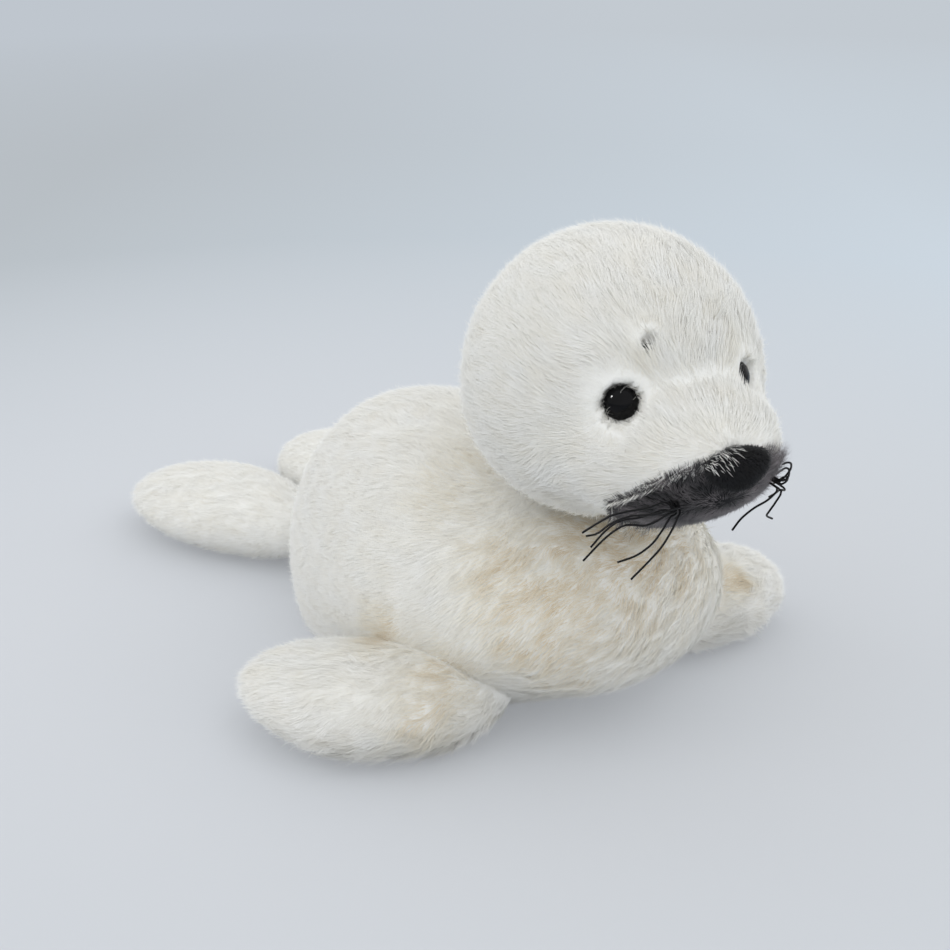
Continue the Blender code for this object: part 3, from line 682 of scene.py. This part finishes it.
def backing(name, first, second):
    """Knitted backing seen between the fibres: patches of two shades and a fine knit relief."""
    return patterned(name, 0.9, {"Scale": 60, "Detail": 3}, [(0.35, first), (0.65, second)],
                     {"Scale": 900, "Detail": 2}, (0.4, 0.4), Specular_IOR_Level=0.2)


# The last stop of both is painted shade: grey pile close round an eye, standing in for the shadow in
# its hollow
WHITE_ROOTS = [(0.0, "EAEAE6"), (0.3, "E3DCCC"), (0.6, "D7C8AC"), (0.88, "C6AC86"), (0.96, "706C68")]
WHITE_TIPS = [(0.0, "F0F0EE"), (0.3, "EAE7DD"), (0.6, "E2D9C6"), (0.88, "D8C9AC"), (0.96, "A5A29E")]
DARK_ROOTS = [(0.0, "131314"), (1.0, "232223")]
DARK_TIPS = [(0.0, "353537"), (1.0, "9A9294")]
VELOUR_ROOTS = [(0.0, "040405"), (1.0, "08080A")]
VELOUR_TIPS = [(0.0, "0A0A0D"), (1.0, "18191E")]

WHITE_PILE = pile_material("white_polyester_pile", WHITE_ROOTS, WHITE_TIPS, 0.8, 0.2)
DARK_PILE = pile_material("charcoal_polyester_pile", DARK_ROOTS, DARK_TIPS, 0.75, 0.15)
VELOUR = pile_material("black_velour_nap", VELOUR_ROOTS, VELOUR_TIPS, 0.7, 0.1)
WHITE_SKIN = backing("white_knitted_backing", "E7E6E1", "EDECE8")
DARK_SKIN = backing("charcoal_knitted_backing", "161617", "222224")
BLACK_SKIN = backing("black_velour_backing", "08080A", "101014")
# Moulded black acrylic, polished: deep black, mirror-like, with a faint moulding ripple
ACRYLIC = patterned("polished_black_acrylic", 0.06, {"Scale": 300, "Detail": 2},
                    [(0.3, "050506"), (0.7, "0C0B0D")], {"Scale": 120, "Detail": 1}, (0.05, 0.1),
                    Specular_IOR_Level=0.15, IOR=1.49)
# Moulded natural nylon: milky, slightly waxy, with fine flow marks
NYLON = patterned("natural_nylon", 0.45, {"Scale": 250, "Detail": 3},
                  [(0.3, "DEDBD0"), (0.7, "ECEAE3")], IOR=1.53)
# Waxed black polyester thread: a slight shine and the twist of its plies as a diagonal relief
THREAD = patterned("waxed_black_thread", 0.5,
                   {"Scale": 420, "Distortion": 1.0, "bands_direction": "DIAGONAL"},
                   [(0.2, "050506"), (0.8, "111012")], bump=(0.35, 0.1), Specular_IOR_Level=0.2)


# Tint: where the white pile is stained warm, and warm painted shade where shadow falls under the chin,
# at the neck, in the crease and at the flippers' roots

# Places in mm, radius in mm and strength: under the chin and down the chest, the
# neck's side, the crease over the right front flipper, both flippers' roots and a spot on the left one
WARM_STAIN_AND_SHADE_PLACES = [
    ((-15, -130, 92), 26, 0.4), ((-51, -112, 84), 18, 0.35), ((-42, -136, 70), 20, 0.35),
    ((-57, -131, 58), 16, 0.3), ((-12, -151, 62), 26, 0.2), ((-38, -140, 36), 13, 0.3),
    ((-40, -68, 103), 20, 0.25), ((-76, -68, 42), 13, 0.6), ((-70, -104, 38), 15, 0.4),
    ((-88, -112, 25), 13, 0.3), ((85, -112, 35), 7, 0.6), ((25, -146, 80), 22, 0.25),
    ((15, -130, 92), 26, 0.4), ((51, -112, 84), 18, 0.25), ((76, -68, 42), 14, 0.5),
    ((70, -104, 38), 15, 0.35), ((0, -60, 115), 24, 0.2),
]
# Warm tint under each brow tuft and painted shade over it, for the shadow in the tuft's dimple:
# azimuth, elevation, radius and strength, and the width of the grey ring of painted shade round the
# right eye
BROW_TINT_AND_SHADE = ((22, 20, 8 * MM, 0.16), (16, 35.5, 4 * MM, 0.3))
EYE_SHADE_RING = 2.4 * MM


def warmth(points):
    """Sum of soft round warm patches, partly stains and partly painted shade, broken up by noise the
    size of a lock.
    """
    total = np.zeros(len(points))
    for place, radius, strength in WARM_STAIN_AND_SHADE_PLACES:
        apart = np.linalg.norm(points - np.array(place) * MM, axis=-1) / (radius * MM)
        total += strength * np.exp(-apart ** 2)
    patches = 0.9 + 0.25 * waves(points, 14 * MM, 5) + 0.25 * waves(points, 5 * MM, 6)
    return np.clip(total * patches, 0, 0.85)


# Pieces


def dress(piece, slot, *nodes):
    """Ties a piece to the seal's one body and hides the solids that it stands for. Its slot is not
    used.
    """
    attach(piece, "root")
    if nodes:
        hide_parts(*nodes)
    return piece


def stuffed(name, slot, shape, steps, finish, inset=0.0, floor=None):
    """The skin of a stuffed piece, in place of its solid."""
    skin = dress(closed_surface(name + "_skin", shape, steps, finish, inset, floor), slot, name)


def pile_tint(roots, seed):
    """Tint of the white pile: the warm stains and painted shade, and slow random shifts of tone."""
    return 0.02 + warmth(roots) + 0.04 * (1 + waves(roots, 12 * MM, seed))


def coat(name, slot, roots, normals, flow, length, finish, seed, **how):
    """A coat of pile, split into pieces small enough to keep whole."""
    parts = math.ceil(len(roots) / COAT_LIMIT)
    for part in range(parts):
        pick = slice(part, None, parts)
        chosen = {key: value[pick] if isinstance(value, np.ndarray) else value
                  for key, value in how.items()}
        title = name if parts == 1 else "%s_%d" % (name, part + 1)
        dress(strand_coat(title, roots[pick], normals[pick], flow[pick], length[pick], finish,
                          seed + part, **chosen), slot)


def blended(flow, other, share):
    """Flow turned into another one by a share from 0 to 1 for each place."""
    return flow * (1 - share[:, None]) + other * share[:, None]


def head_flow(points):
    """Pile direction on the head, as laid by brushing away from the nose.

    It turns outwards round the eyes and brows, droops below and lies down over the muzzle panel.
    """
    local = to_head(points)
    nose = on_head(0, NOSE_ANGLE)[0]
    away = unit(local - nose)
    flow = away + np.array([0, 0.25, 0])
    flow[:, 2] -= 0.5 * smooth_step(-local[:, 2], -10 * MM, 35 * MM)
    for azimuth, elevation, _, far, _, parting in HOLLOWS:
        apart = local - on_head(azimuth, elevation)[0]
        close = 1 - smooth_step(np.linalg.norm(apart, axis=-1), far, 2 * far)
        flow = blended(flow, unit(apart), parting * close)
    azimuth, elevation = head_angles(local)
    above = np.maximum(elevation - panel_edges(azimuth)[0], 0)
    beside = (np.abs(azimuth) < PANEL_HALF_ANGLE) & (elevation > PANEL_LOW_ANGLE)
    flow = blended(flow, np.array([0, -0.25, -1.0]), 0.45 * np.exp(-(above / 2.5) ** 2) * beside)
    return flow @ HEAD_ROTATION.T


def head_length(points):
    """Pile length on the head: short on the muzzle, over its panel and round the eyes."""
    local = to_head(points)
    length = SNOUT_PILE + (SKULL_PILE - SNOUT_PILE) * smooth_step(local[:, 1], -85 * MM, -55 * MM)
    azimuth, elevation = head_angles(local)
    above = np.maximum(elevation - panel_edges(azimuth)[0], 0)
    edge = np.exp(-(above / 2.5) ** 2) * (np.abs(azimuth) < PANEL_HALF_ANGLE)
    for azimuth, elevation, near, far in ((-EYE_AZIMUTH, EYE_ELEVATION, 9 * MM, 19 * MM),
                                          (EYE_AZIMUTH, EYE_ELEVATION, 9 * MM, 19 * MM),
                                          (-BROW_AZIMUTH, BROW_ELEVATION, 3 * MM, 10 * MM)):
        apart = np.linalg.norm(local - on_head(azimuth, elevation)[0], axis=-1)
        length = length * (0.5 + 0.5 * smooth_step(apart, near, far))
    return length * (1 - 0.5 * edge)


def head_keep(points):
    """No pile under the eyes, brow tufts, nose and muzzle panel or inside the torso."""
    local = to_head(points)
    keep = ~in_panel(local)
    for azimuth, elevation, radius in ((EYE_AZIMUTH, EYE_ELEVATION, EYE_RADIUS),
                                       (BROW_AZIMUTH, BROW_ELEVATION, BROW_RADIUS)):
        for way in (-1, 1):
            place = on_head(way * azimuth, elevation, PILE)[0]
            keep &= np.linalg.norm(local - place, axis=-1) > radius
    return keep & ~in_torso(points, FELT)


def make_nose_hairs():
    """White hairs that lie over the upper right edge of the nose, from the pile beside it."""
    centre = on_head(0, NOSE_ANGLE, NOSE_SINK)[0]

    def keep(points):
        apart = (to_head(points) - centre) / NOSE_RADII
        return smooth_step(apart[:, 2] - apart[:, 0], 0.95, 1.4)

    roots, normals = scatter(nose_shape, NOSE_HAIRS, -0.2 * MM, keep, 64)
    flow = np.tile(HEAD_ROTATION @ np.array([0.2, -1, -0.45]), (NOSE_HAIRS, 1))
    length = np.random.default_rng(65).uniform(2, 4.5, NOSE_HAIRS) * MM
    hairs = strand_coat("nose_hairs", roots, normals, flow, length, WHITE_PILE, 66, width=0.14 * MM,
                        rise=(0.15, 0.05), lock=0.25, lock_size=1.5 * MM, scatter_angle=0.3)
    dress(hairs, "white_plush")


def make_head():
    """The head's skin and its coat, laid with gentle whorls."""
    stuffed("head", "white_plush", head_shape, (100, 130), WHITE_SKIN, FELT)
    roots, normals = scatter(head_shape, HEAD_STRANDS, FELT + ROOT_SINK, head_keep, 11)
    swirl = 0.25 * waves(roots, 26 * MM, 21) + 0.2 * waves(roots, 9 * MM, 22)
    flow = turned_in_plane(unit(head_flow(roots)), normals, swirl)
    local = to_head(roots)
    tint = pile_tint(roots, 23)
    # Warm tint under each brow tuft, painted shade in its dimple above it, and a grey ring of painted
    # shade round the right eye for the shadow in its hollow
    for way in (-1, 1):
        for azimuth, elevation, radius, strength in BROW_TINT_AND_SHADE:
            apart = np.linalg.norm(local - on_head(way * azimuth, elevation)[0], axis=-1)
            tint += strength * np.exp(-(apart / radius) ** 2)
    apart = np.linalg.norm(local - on_head(-EYE_AZIMUTH, EYE_ELEVATION, PILE)[0], axis=-1)
    tint += 0.95 * (apart < EYE_RADIUS + EYE_SHADE_RING)
    coat("head_pile", "white_plush", roots, normals, flow, head_length(roots), WHITE_PILE, 31,
         tint=tint, rise=(0.24, 0.06))


def make_torso():
    """The torso's skin and its coat, brushed back and down and across the chest."""
    stuffed("torso", "white_plush", torso_shape, (70, 90), WHITE_SKIN, FELT, FLOOR_CLEAR)

    def keep(points):
        return (points[:, 2] > 1.5 * MM) & ~in_head(points, FELT)

    roots, normals = scatter(torso_shape, TORSO_STRANDS, FELT + ROOT_SINK, keep, 12)
    chest = 1 - smooth_step(roots[:, 1], TORSO_FRONT_Y + 35 * MM, TORSO_FRONT_Y + 100 * MM)
    flow = blended(np.array([[0, 1, -0.35]]), np.array([[-1, 0.2, -0.6]]), chest)
    swirl = (0.15 + 0.1 * chest) * waves(roots, 30 * MM, 24)
    swirl += (0.12 + 0.12 * chest) * waves(roots, 9 * MM, 25)
    flow = turned_in_plane(unit(flow), normals, swirl)
    length = (10 - chest) * MM
    coat("torso_pile", "white_plush", roots, normals, flow, length, WHITE_PILE, 41,
         tint=pile_tint(roots, 26), lock=0.08 + 0.08 * chest)


def make_flipper(kind, side, shape, strands, seed):
    """A flipper's skin and its coat, brushed from root to tip and longer along its front edge."""
    name = "%s_flipper_%s" % (kind, side)
    stuffed(name, "white_plush", shape, (48, 64), WHITE_SKIN, FELT, FLOOR_CLEAR)

    def keep(points):
        return (points[:, 2] > 1.2 * MM) & ~in_torso(points, FELT)

    roots, normals = scatter(shape, strands, FELT + ROOT_SINK, keep, seed)
    u = np.linspace(0, 1, 60)
    line = shape(u, 0 * u + 0.25)
    nearest = np.argmin(np.linalg.norm(roots[:, None, :2] - line[None, :, :2], axis=-1), axis=1)
    ahead = unit(np.gradient(line, axis=0))[nearest]
    outboard = roots - line[nearest]
    outboard[:, 2] = 0
    low = 1 - smooth_step(roots[:, 2], 8 * MM, 26 * MM)
    along = smooth_step(nearest, 2, 16)[:, None]
    flow = along * ahead * np.array([1, 1, 0]) + 22 * outboard - np.array([0, 0, 0.9]) * low[:, None]
    front = smooth_step(-roots[:, 1], 60 * MM, 110 * MM) * (kind == "front")
    swirl = (0.15 + 0.35 * front) * waves(roots, 22 * MM, seed + 1)
    swirl += (0.15 + 0.25 * front) * waves(roots, 8 * MM, seed + 2)
    flow = turned_in_plane(unit(flow), normals, swirl)
    length = (9 + 5 * front * low) * (0.5 + 0.5 * smooth_step(nearest, 1, 12)) * MM
    coat(name + "_pile", "white_plush", roots, normals, flow, length, WHITE_PILE, seed + 4,
         tint=pile_tint(roots, seed + 3), lock=0.1 + 0.25 * front, lock_size=4.5 * MM)


def make_muzzle():
    """The dark crescent: its backing and a shaggy coat that stands up at the top and falls below."""
    stuffed("muzzle", "charcoal_plush", panel_pad_shape, (60, 32), DARK_SKIN)

    def keep(points):
        return np.abs(head_angles(to_head(points))[0]) < PANEL_SHOWN

    roots, normals = scatter(panel_shape, MUZZLE_STRANDS, PANEL_FELT + ROOT_SINK, keep, 13)
    azimuth, elevation = head_angles(to_head(roots))
    top, low = panel_edges(azimuth)
    share = (elevation - low) / np.maximum(top - low, 1)
    right = smooth_step(azimuth, 5, 28)
    loose = np.maximum(1 - smooth_step(share, 0, 0.4), right)
    sideways = 0.45 * azimuth / PANEL_HALF_ANGLE + 0.6 * right
    flow = np.stack([sideways, 0.3 + 0 * share, 2.2 * (share - 0.6)], axis=-1)
    swirl = 0.4 * waves(roots, 16 * MM, 27) + 0.3 * waves(roots, 6 * MM, 28)
    flow = turned_in_plane(unit(flow) @ HEAD_ROTATION.T, normals, swirl)
    tint = 0.25 + 0.25 * waves(roots, 7 * MM, 29) + 0.4 * smooth_step(azimuth, -12, 20)
    length = MUZZLE_PILE + (MUZZLE_SHAG - MUZZLE_PILE) * loose
    coat("muzzle_pile", "charcoal_plush", roots, normals, flow, length, DARK_PILE, 51, tint=tint,
         rise=(0.45 + 0.35 * loose, 0.1 + 0.2 * loose), lock=0.35, lock_size=2.5 * MM, soft=0.6)


def make_nose():
    """The velour pad with its short upright nap."""
    stuffed("nose", "black_velour", nose_shape, (30, 48), BLACK_SKIN, NAP_DEPTH)
    roots, normals = scatter(nose_shape, NOSE_STRANDS, NAP_DEPTH, lambda points: 1, 14)
    flow = np.tile(np.array([0.1, 0, -0.5]), (len(roots), 1))
    coat("nose_nap", "black_velour", roots, normals, flow, np.full(len(roots), NAP_LENGTH), VELOUR,
         61, tint=0.3 + 0.3 * waves(roots, 5 * MM, 30), width=0.22 * MM, rise=(1.2, 0.9),
         lock_size=1.5 * MM, soft=0.6)


def head_post(azimuth, elevation):
    """A place on the pressed-down backing, with outward, across and upward directions there."""
    place, outward = on_head(azimuth, elevation, PILE - FIT_GAP)
    outward = HEAD_ROTATION @ outward
    across = unit(np.cross(outward, np.array([0, 0, 1])))
    return from_head(place), outward, across, np.cross(across, outward)


def dome_points(side, angle, turn, proud=0.0):
    """Points of an eye's dome: angle from its middle outwards and turn round it, in radians."""
    place, outward, across, upward = head_post(SIDES[side] * EYE_AZIMUTH, EYE_ELEVATION)
    radius = (EYE_RADIUS + proud) * np.sin(angle)
    ring = np.cos(turn)[..., None] * across + np.sin(turn)[..., None] * upward
    front = np.where(np.cos(angle) > 0, EYE_HEIGHT + proud, 0.25 * MM) * np.cos(angle)
    return place + radius[..., None] * ring + (front + 0.25 * MM)[..., None] * outward


def make_eye_hairs(side):
    """Loose hairs that lie across an eye from its rim, thin ribbons that follow the dome."""
    rng = np.random.default_rng(65 + SIDES[side])
    t = np.linspace(0, 1, EYE_HAIR_STEPS)
    turn = rng.uniform(-2.6, 1.3, (EYE_HAIRS, 1)) * SIDES[side]
    turn = turn + rng.uniform(-1.1, 1.1, (EYE_HAIRS, 1)) * t
    reach = rng.uniform(0.5, 1.25, (EYE_HAIRS, 1))
    angle = np.pi / 2 + 0.25 - reach * t
    line = dome_points(side, np.minimum(angle, np.pi / 2), turn, 0.35 * MM)
    wide = unit(np.cross(np.gradient(line, axis=1), line - line.mean(axis=(0, 1))))
    half = 0.06 * MM * (1 - 0.7 * t)[None, :, None]
    points = np.stack([line - wide * half, line + wide * half], axis=2).reshape(-1, 3)
    start = 2 * (np.arange(EYE_HAIRS)[:, None] * EYE_HAIR_STEPS + np.arange(EYE_HAIR_STEPS - 1))
    corner = np.array([[0, 1, 3], [0, 3, 2]])
    triangles = (start[..., None, None] + corner).reshape(-1, 3)
    hairs = mesh_object("eye_hairs_" + side, points, triangles, WHITE_PILE)
    tints, ends = rng.uniform(0.02, 0.3, len(points)), np.tile([0.4, 0.95], len(points) // 2)
    add_chart(hairs, triangles, np.stack([tints, ends], axis=-1))
    dress(hairs, "white_plush")


def make_eyes():
    """Polished domes in place of the solids' coarser ones, and the nylon washers behind them."""
    for side in SIDES:
        def shape(u, v, inset):
            return dome_points(side, np.pi * u, 2 * np.pi * v, -inset)

        dome = closed_surface("eye_dome_" + side, shape, (40, 64), ACRYLIC)
        dress(dome, "black_eye_plastic", "eye_" + side)
        make_eye_hairs(side)
        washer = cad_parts["eye_washer_" + side]
        for place in washer.material_slots:
            place.material = NYLON


def brow_core(way):
    """Returns the closed heart of a brow tuft: u from its foot to its tip, v once round."""
    place, outward, across, upward = head_post(way * BROW_AZIMUTH, BROW_ELEVATION)

    def shape(u, v, inset=0.0):
        u, turn = u[..., None], 2 * np.pi * v[..., None]
        radius = (0.85 * BROW_RADIUS - inset) * np.sin(np.pi * u) ** 0.4
        ring = np.cos(turn) * across + 0.5 * np.sin(turn) * upward
        return place + 0.95 * BROW_LENGTH * u * outward + radius * ring

    return shape


def make_brows():
    """Two small bunches of dark threads standing in their hollows, wider than high."""
    for side, way in SIDES.items():
        core = closed_surface("brow_core_" + side, brow_core(way), (12, 20), THREAD)
        dress(core, "black_waxed_thread", "brow_tuft_" + side)
        place, outward, across, upward = head_post(way * BROW_AZIMUTH, BROW_ELEVATION)
        rng = np.random.default_rng(70 + way)
        turn = rng.uniform(0, 2 * np.pi, BROW_STRANDS)
        radius = BROW_RADIUS * np.sqrt(rng.uniform(0, 0.9, BROW_STRANDS))
        ring = np.cos(turn)[:, None] * across + 0.5 * np.sin(turn)[:, None] * upward
        normals = np.tile(outward, (BROW_STRANDS, 1))
        flow = 0.3 * ring - 0.4 * upward - 0.3 * way * across
        tuft = strand_coat("brow_threads_" + side, place + ring * radius[:, None], normals, flow,
                           np.full(BROW_STRANDS, 1.05 * BROW_LENGTH), THREAD, 72 + way,
                           width=0.4 * MM, rise=(2, 1), soft=0.3)
        dress(tuft, "black_waxed_thread")


def smooth_curve(points, spacing):
    """Points a set distance apart on the Catmull-Rom curve through the given points."""
    given = np.array(points, float)
    ends = np.concatenate([[2 * given[0] - given[1]], given, [2 * given[-1] - given[-2]]])
    u = np.linspace(0, 1, 24, endpoint=False)[:, None]
    fine = []
    for a, b, c, d in zip(ends, ends[1:], ends[2:], ends[3:]):
        fine.append(b + 0.5 * u * (c - a + u * (2 * a - 5 * b + 4 * c - d + u * (3 * (b - c) + d - a))))
    fine = np.concatenate(fine + [given[-1:]])
    along = np.concatenate([[0], np.cumsum(np.linalg.norm(np.diff(fine, axis=0), axis=1))])
    at = np.linspace(0, along[-1], max(2, math.ceil(along[-1] / spacing) + 1))
    return np.stack([np.interp(at, along, fine[:, k]) for k in range(3)], axis=-1), along[-1]


def make_whiskers():
    """Six waxed threads a side, each a curve along its route from the bottom of the pit."""
    for side, way in SIDES.items():
        place, outward = on_head(way * WHISKER_AZIMUTH, WHISKER_ELEVATION, -WHISKER_PROUD)
        outboard = way * unit(np.cross([0, 0, 1], outward))
        upward = way * np.cross(outward, outboard)
        for number, route in enumerate(WHISKER_ROUTES[side]):
            start = place
            if WHISKER_RING_ANGLES[number] is not None:
                angle = math.radians(WHISKER_RING_ANGLES[number])
                start = place + WHISKER_RING * (math.sin(angle) * outboard - math.cos(angle) * upward)
            root = start - outward * (WHISKER_PIT_DEPTH - FIT_GAP)
            spread = [np.array([way * x, y, z]) * MM for x, y, z in route]
            points, length = smooth_curve([root, start + outward * WHISKER_LEAD] + spread,
                                          2 * WHISKER_DIAMETER)
            points = from_head(points)
            name = "whisker_%s_%d" % (side, number + 1)
            shape = bpy.data.curves.new(name + "_thread", "CURVE")
            shape.dimensions = "3D"
            shape.bevel_depth = WHISKER_DIAMETER / 2
            shape.bevel_resolution = 2
            shape.use_fill_caps = True
            line = shape.splines.new("POLY")
            line.points.add(len(points) - 1)
            weighted = np.concatenate([points, np.ones((len(points), 1))], axis=1)
            line.points.foreach_set("co", weighted.ravel())
            shape.materials.append(THREAD)
            thread = bpy.data.objects.new(shape.name, shape)
            bpy.context.collection.objects.link(thread)
            dress(thread, "black_waxed_thread", name)


def make_floor():
    """Pale seamless floor: matt paper whose far part glows in its own lit colour; near the seal it
    glows a little too, painted light that lightens the seal's shadow.

    Its colour changes a little with the distance and from the picture's left to its right, painted
    light for the uneven fall of light over the paper.
    """
    bpy.ops.mesh.primitive_circle_add(vertices=96, radius=14, fill_type="NGON")
    floor = bpy.context.object
    floor.name = "studio_floor"
    made, tree, shader = new_material("matt_studio_paper", 0.9, Specular_IOR_Level=0.1)
    place = node(tree, "ShaderNodeTexCoord").outputs["Object"]
    apart = node(tree, "ShaderNodeVectorMath", {"operation": "LENGTH"}, {0: place})
    far = node(tree, "ShaderNodeMapRange", {1: 0.2, 2: 3.5}, {0: apart.outputs["Value"]})
    azimuth = math.radians(VIEW_AZIMUTH)
    rightward = (math.cos(azimuth), math.sin(azimuth), 0)
    right = node(tree, "ShaderNodeVectorMath", {"operation": "DOT_PRODUCT", 1: rightward}, {0: place})
    side = node(tree, "ShaderNodeMapRange", {1: -0.5, 2: 0.5}, {0: right.outputs["Value"]})
    # Painted light: darker and lighter tones with distance and side, for light falling unevenly over
    # the paper
    left_side = ramp(tree, far.outputs[0], [(0.0, "D1D4D9"), (0.2, "B6BCC1"), (1.0, "BFC6CE")])
    right_side = ramp(tree, far.outputs[0], [(0.0, "CCCFD3"), (0.2, "C9D3DC"), (1.0, "C3CAD1")])
    colour = mixed(tree, side.outputs[0], left_side, right_side)
    tree.links.new(colour, shader.inputs["Base Color"])
    glow = node(tree, "ShaderNodeEmission", links={0: colour})
    # Painted light: glow mixed in even near the seal, which lightens its shadow
    fade = node(tree, "ShaderNodeMapRange",
                {"interpolation_type": "SMOOTHSTEP", 1: 0.35, 2: 1.6, 3: 0.3},
                {0: apart.outputs["Value"]})
    blend = node(tree, "ShaderNodeMixShader", links={0: fade.outputs[0], 1: shader.outputs[0],
                                                     2: glow.outputs[0]})
    tree.links.new(blend.outputs[0], tree.nodes["Material Output"].inputs[0])
    floor.data.materials.append(made)


def make_world():
    """Soft sky light, and a pale blue-grey backdrop where the camera sees past the floor."""
    world = bpy.data.worlds.new("studio")
    bpy.context.scene.world = world
    world.use_nodes = True
    tree = world.node_tree
    tree.nodes.clear()
    path = node(tree, "ShaderNodeLightPath")
    light = node(tree, "ShaderNodeBackground", {"Color": linear("F4F6F8"), "Strength": 0.98})
    backdrop = node(tree, "ShaderNodeBackground", {"Color": linear("C0C9D1"), "Strength": 1.0})
    blend = node(tree, "ShaderNodeMixShader", links={0: path.outputs["Is Camera Ray"],
                                                     1: light.outputs[0], 2: backdrop.outputs[0]})
    out = node(tree, "ShaderNodeOutputWorld")
    tree.links.new(blend.outputs[0], out.inputs[0])


def make_lamp(name, kind, direction, power):
    """A lamp that shines from a direction, CATCH_DISTANCE from the seal."""
    made = bpy.data.objects.new(name, bpy.data.lights.new(name, kind))
    bpy.context.collection.objects.link(made)
    made.data.energy = power
    made.location = VIEW_TARGET + Vector(direction).normalized() * CATCH_DISTANCE
    made.rotation_euler = Vector(direction).to_track_quat("Z", "Y").to_euler()
    return made


def make_lights():
    """Two broad even lights without highlights, and a lamp seen only as a spot in the eyes."""
    for name, direction, spread, power in (("key_light", KEY_DIRECTION, 60, 0.55),
                                           ("fill_light", FILL_DIRECTION, 90, 0.6)):
        sun = make_lamp(name, "SUN", direction, power)
        sun.data.angle = math.radians(spread)
        sun.visible_glossy = False
    spot = make_lamp("catch_light", "AREA", KEY_DIRECTION, 6)
    spot.data.size = CATCH_SIZE
    spot.visible_diffuse = False


def make_camera():
    """The photograph's view: back is the direction from the target to the camera."""
    azimuth, elevation = math.radians(VIEW_AZIMUTH), math.radians(VIEW_ELEVATION)
    back = Vector((math.sin(azimuth) * math.cos(elevation), -math.cos(azimuth) * math.cos(elevation),
                   math.sin(elevation)))
    camera = bpy.data.cameras.new("photo_camera")
    camera.lens = LENS
    camera.sensor_width = SENSOR
    camera.clip_start = 0.01
    made = bpy.data.objects.new("photo_camera", camera)
    bpy.context.collection.objects.link(made)
    made.location = VIEW_TARGET + back * VIEW_DISTANCE
    made.rotation_euler = (-back).to_track_quat("-Z", "Y").to_euler()
    bpy.context.scene.camera = made


make_camera()
make_whiskers()
make_torso()
make_head()
for side_name in SIDES:
    make_flipper("front", side_name, front_flipper(side_name), FRONT_STRANDS, 80 + SIDES[side_name])
    make_flipper("hind", side_name, hind_flipper(side_name), HIND_STRANDS, 90 + SIDES[side_name])
make_muzzle()
make_nose()
make_nose_hairs()
make_eyes()
make_brows()
make_floor()
make_world()
make_lights()
bpy.context.scene.view_settings.view_transform = "Standard"
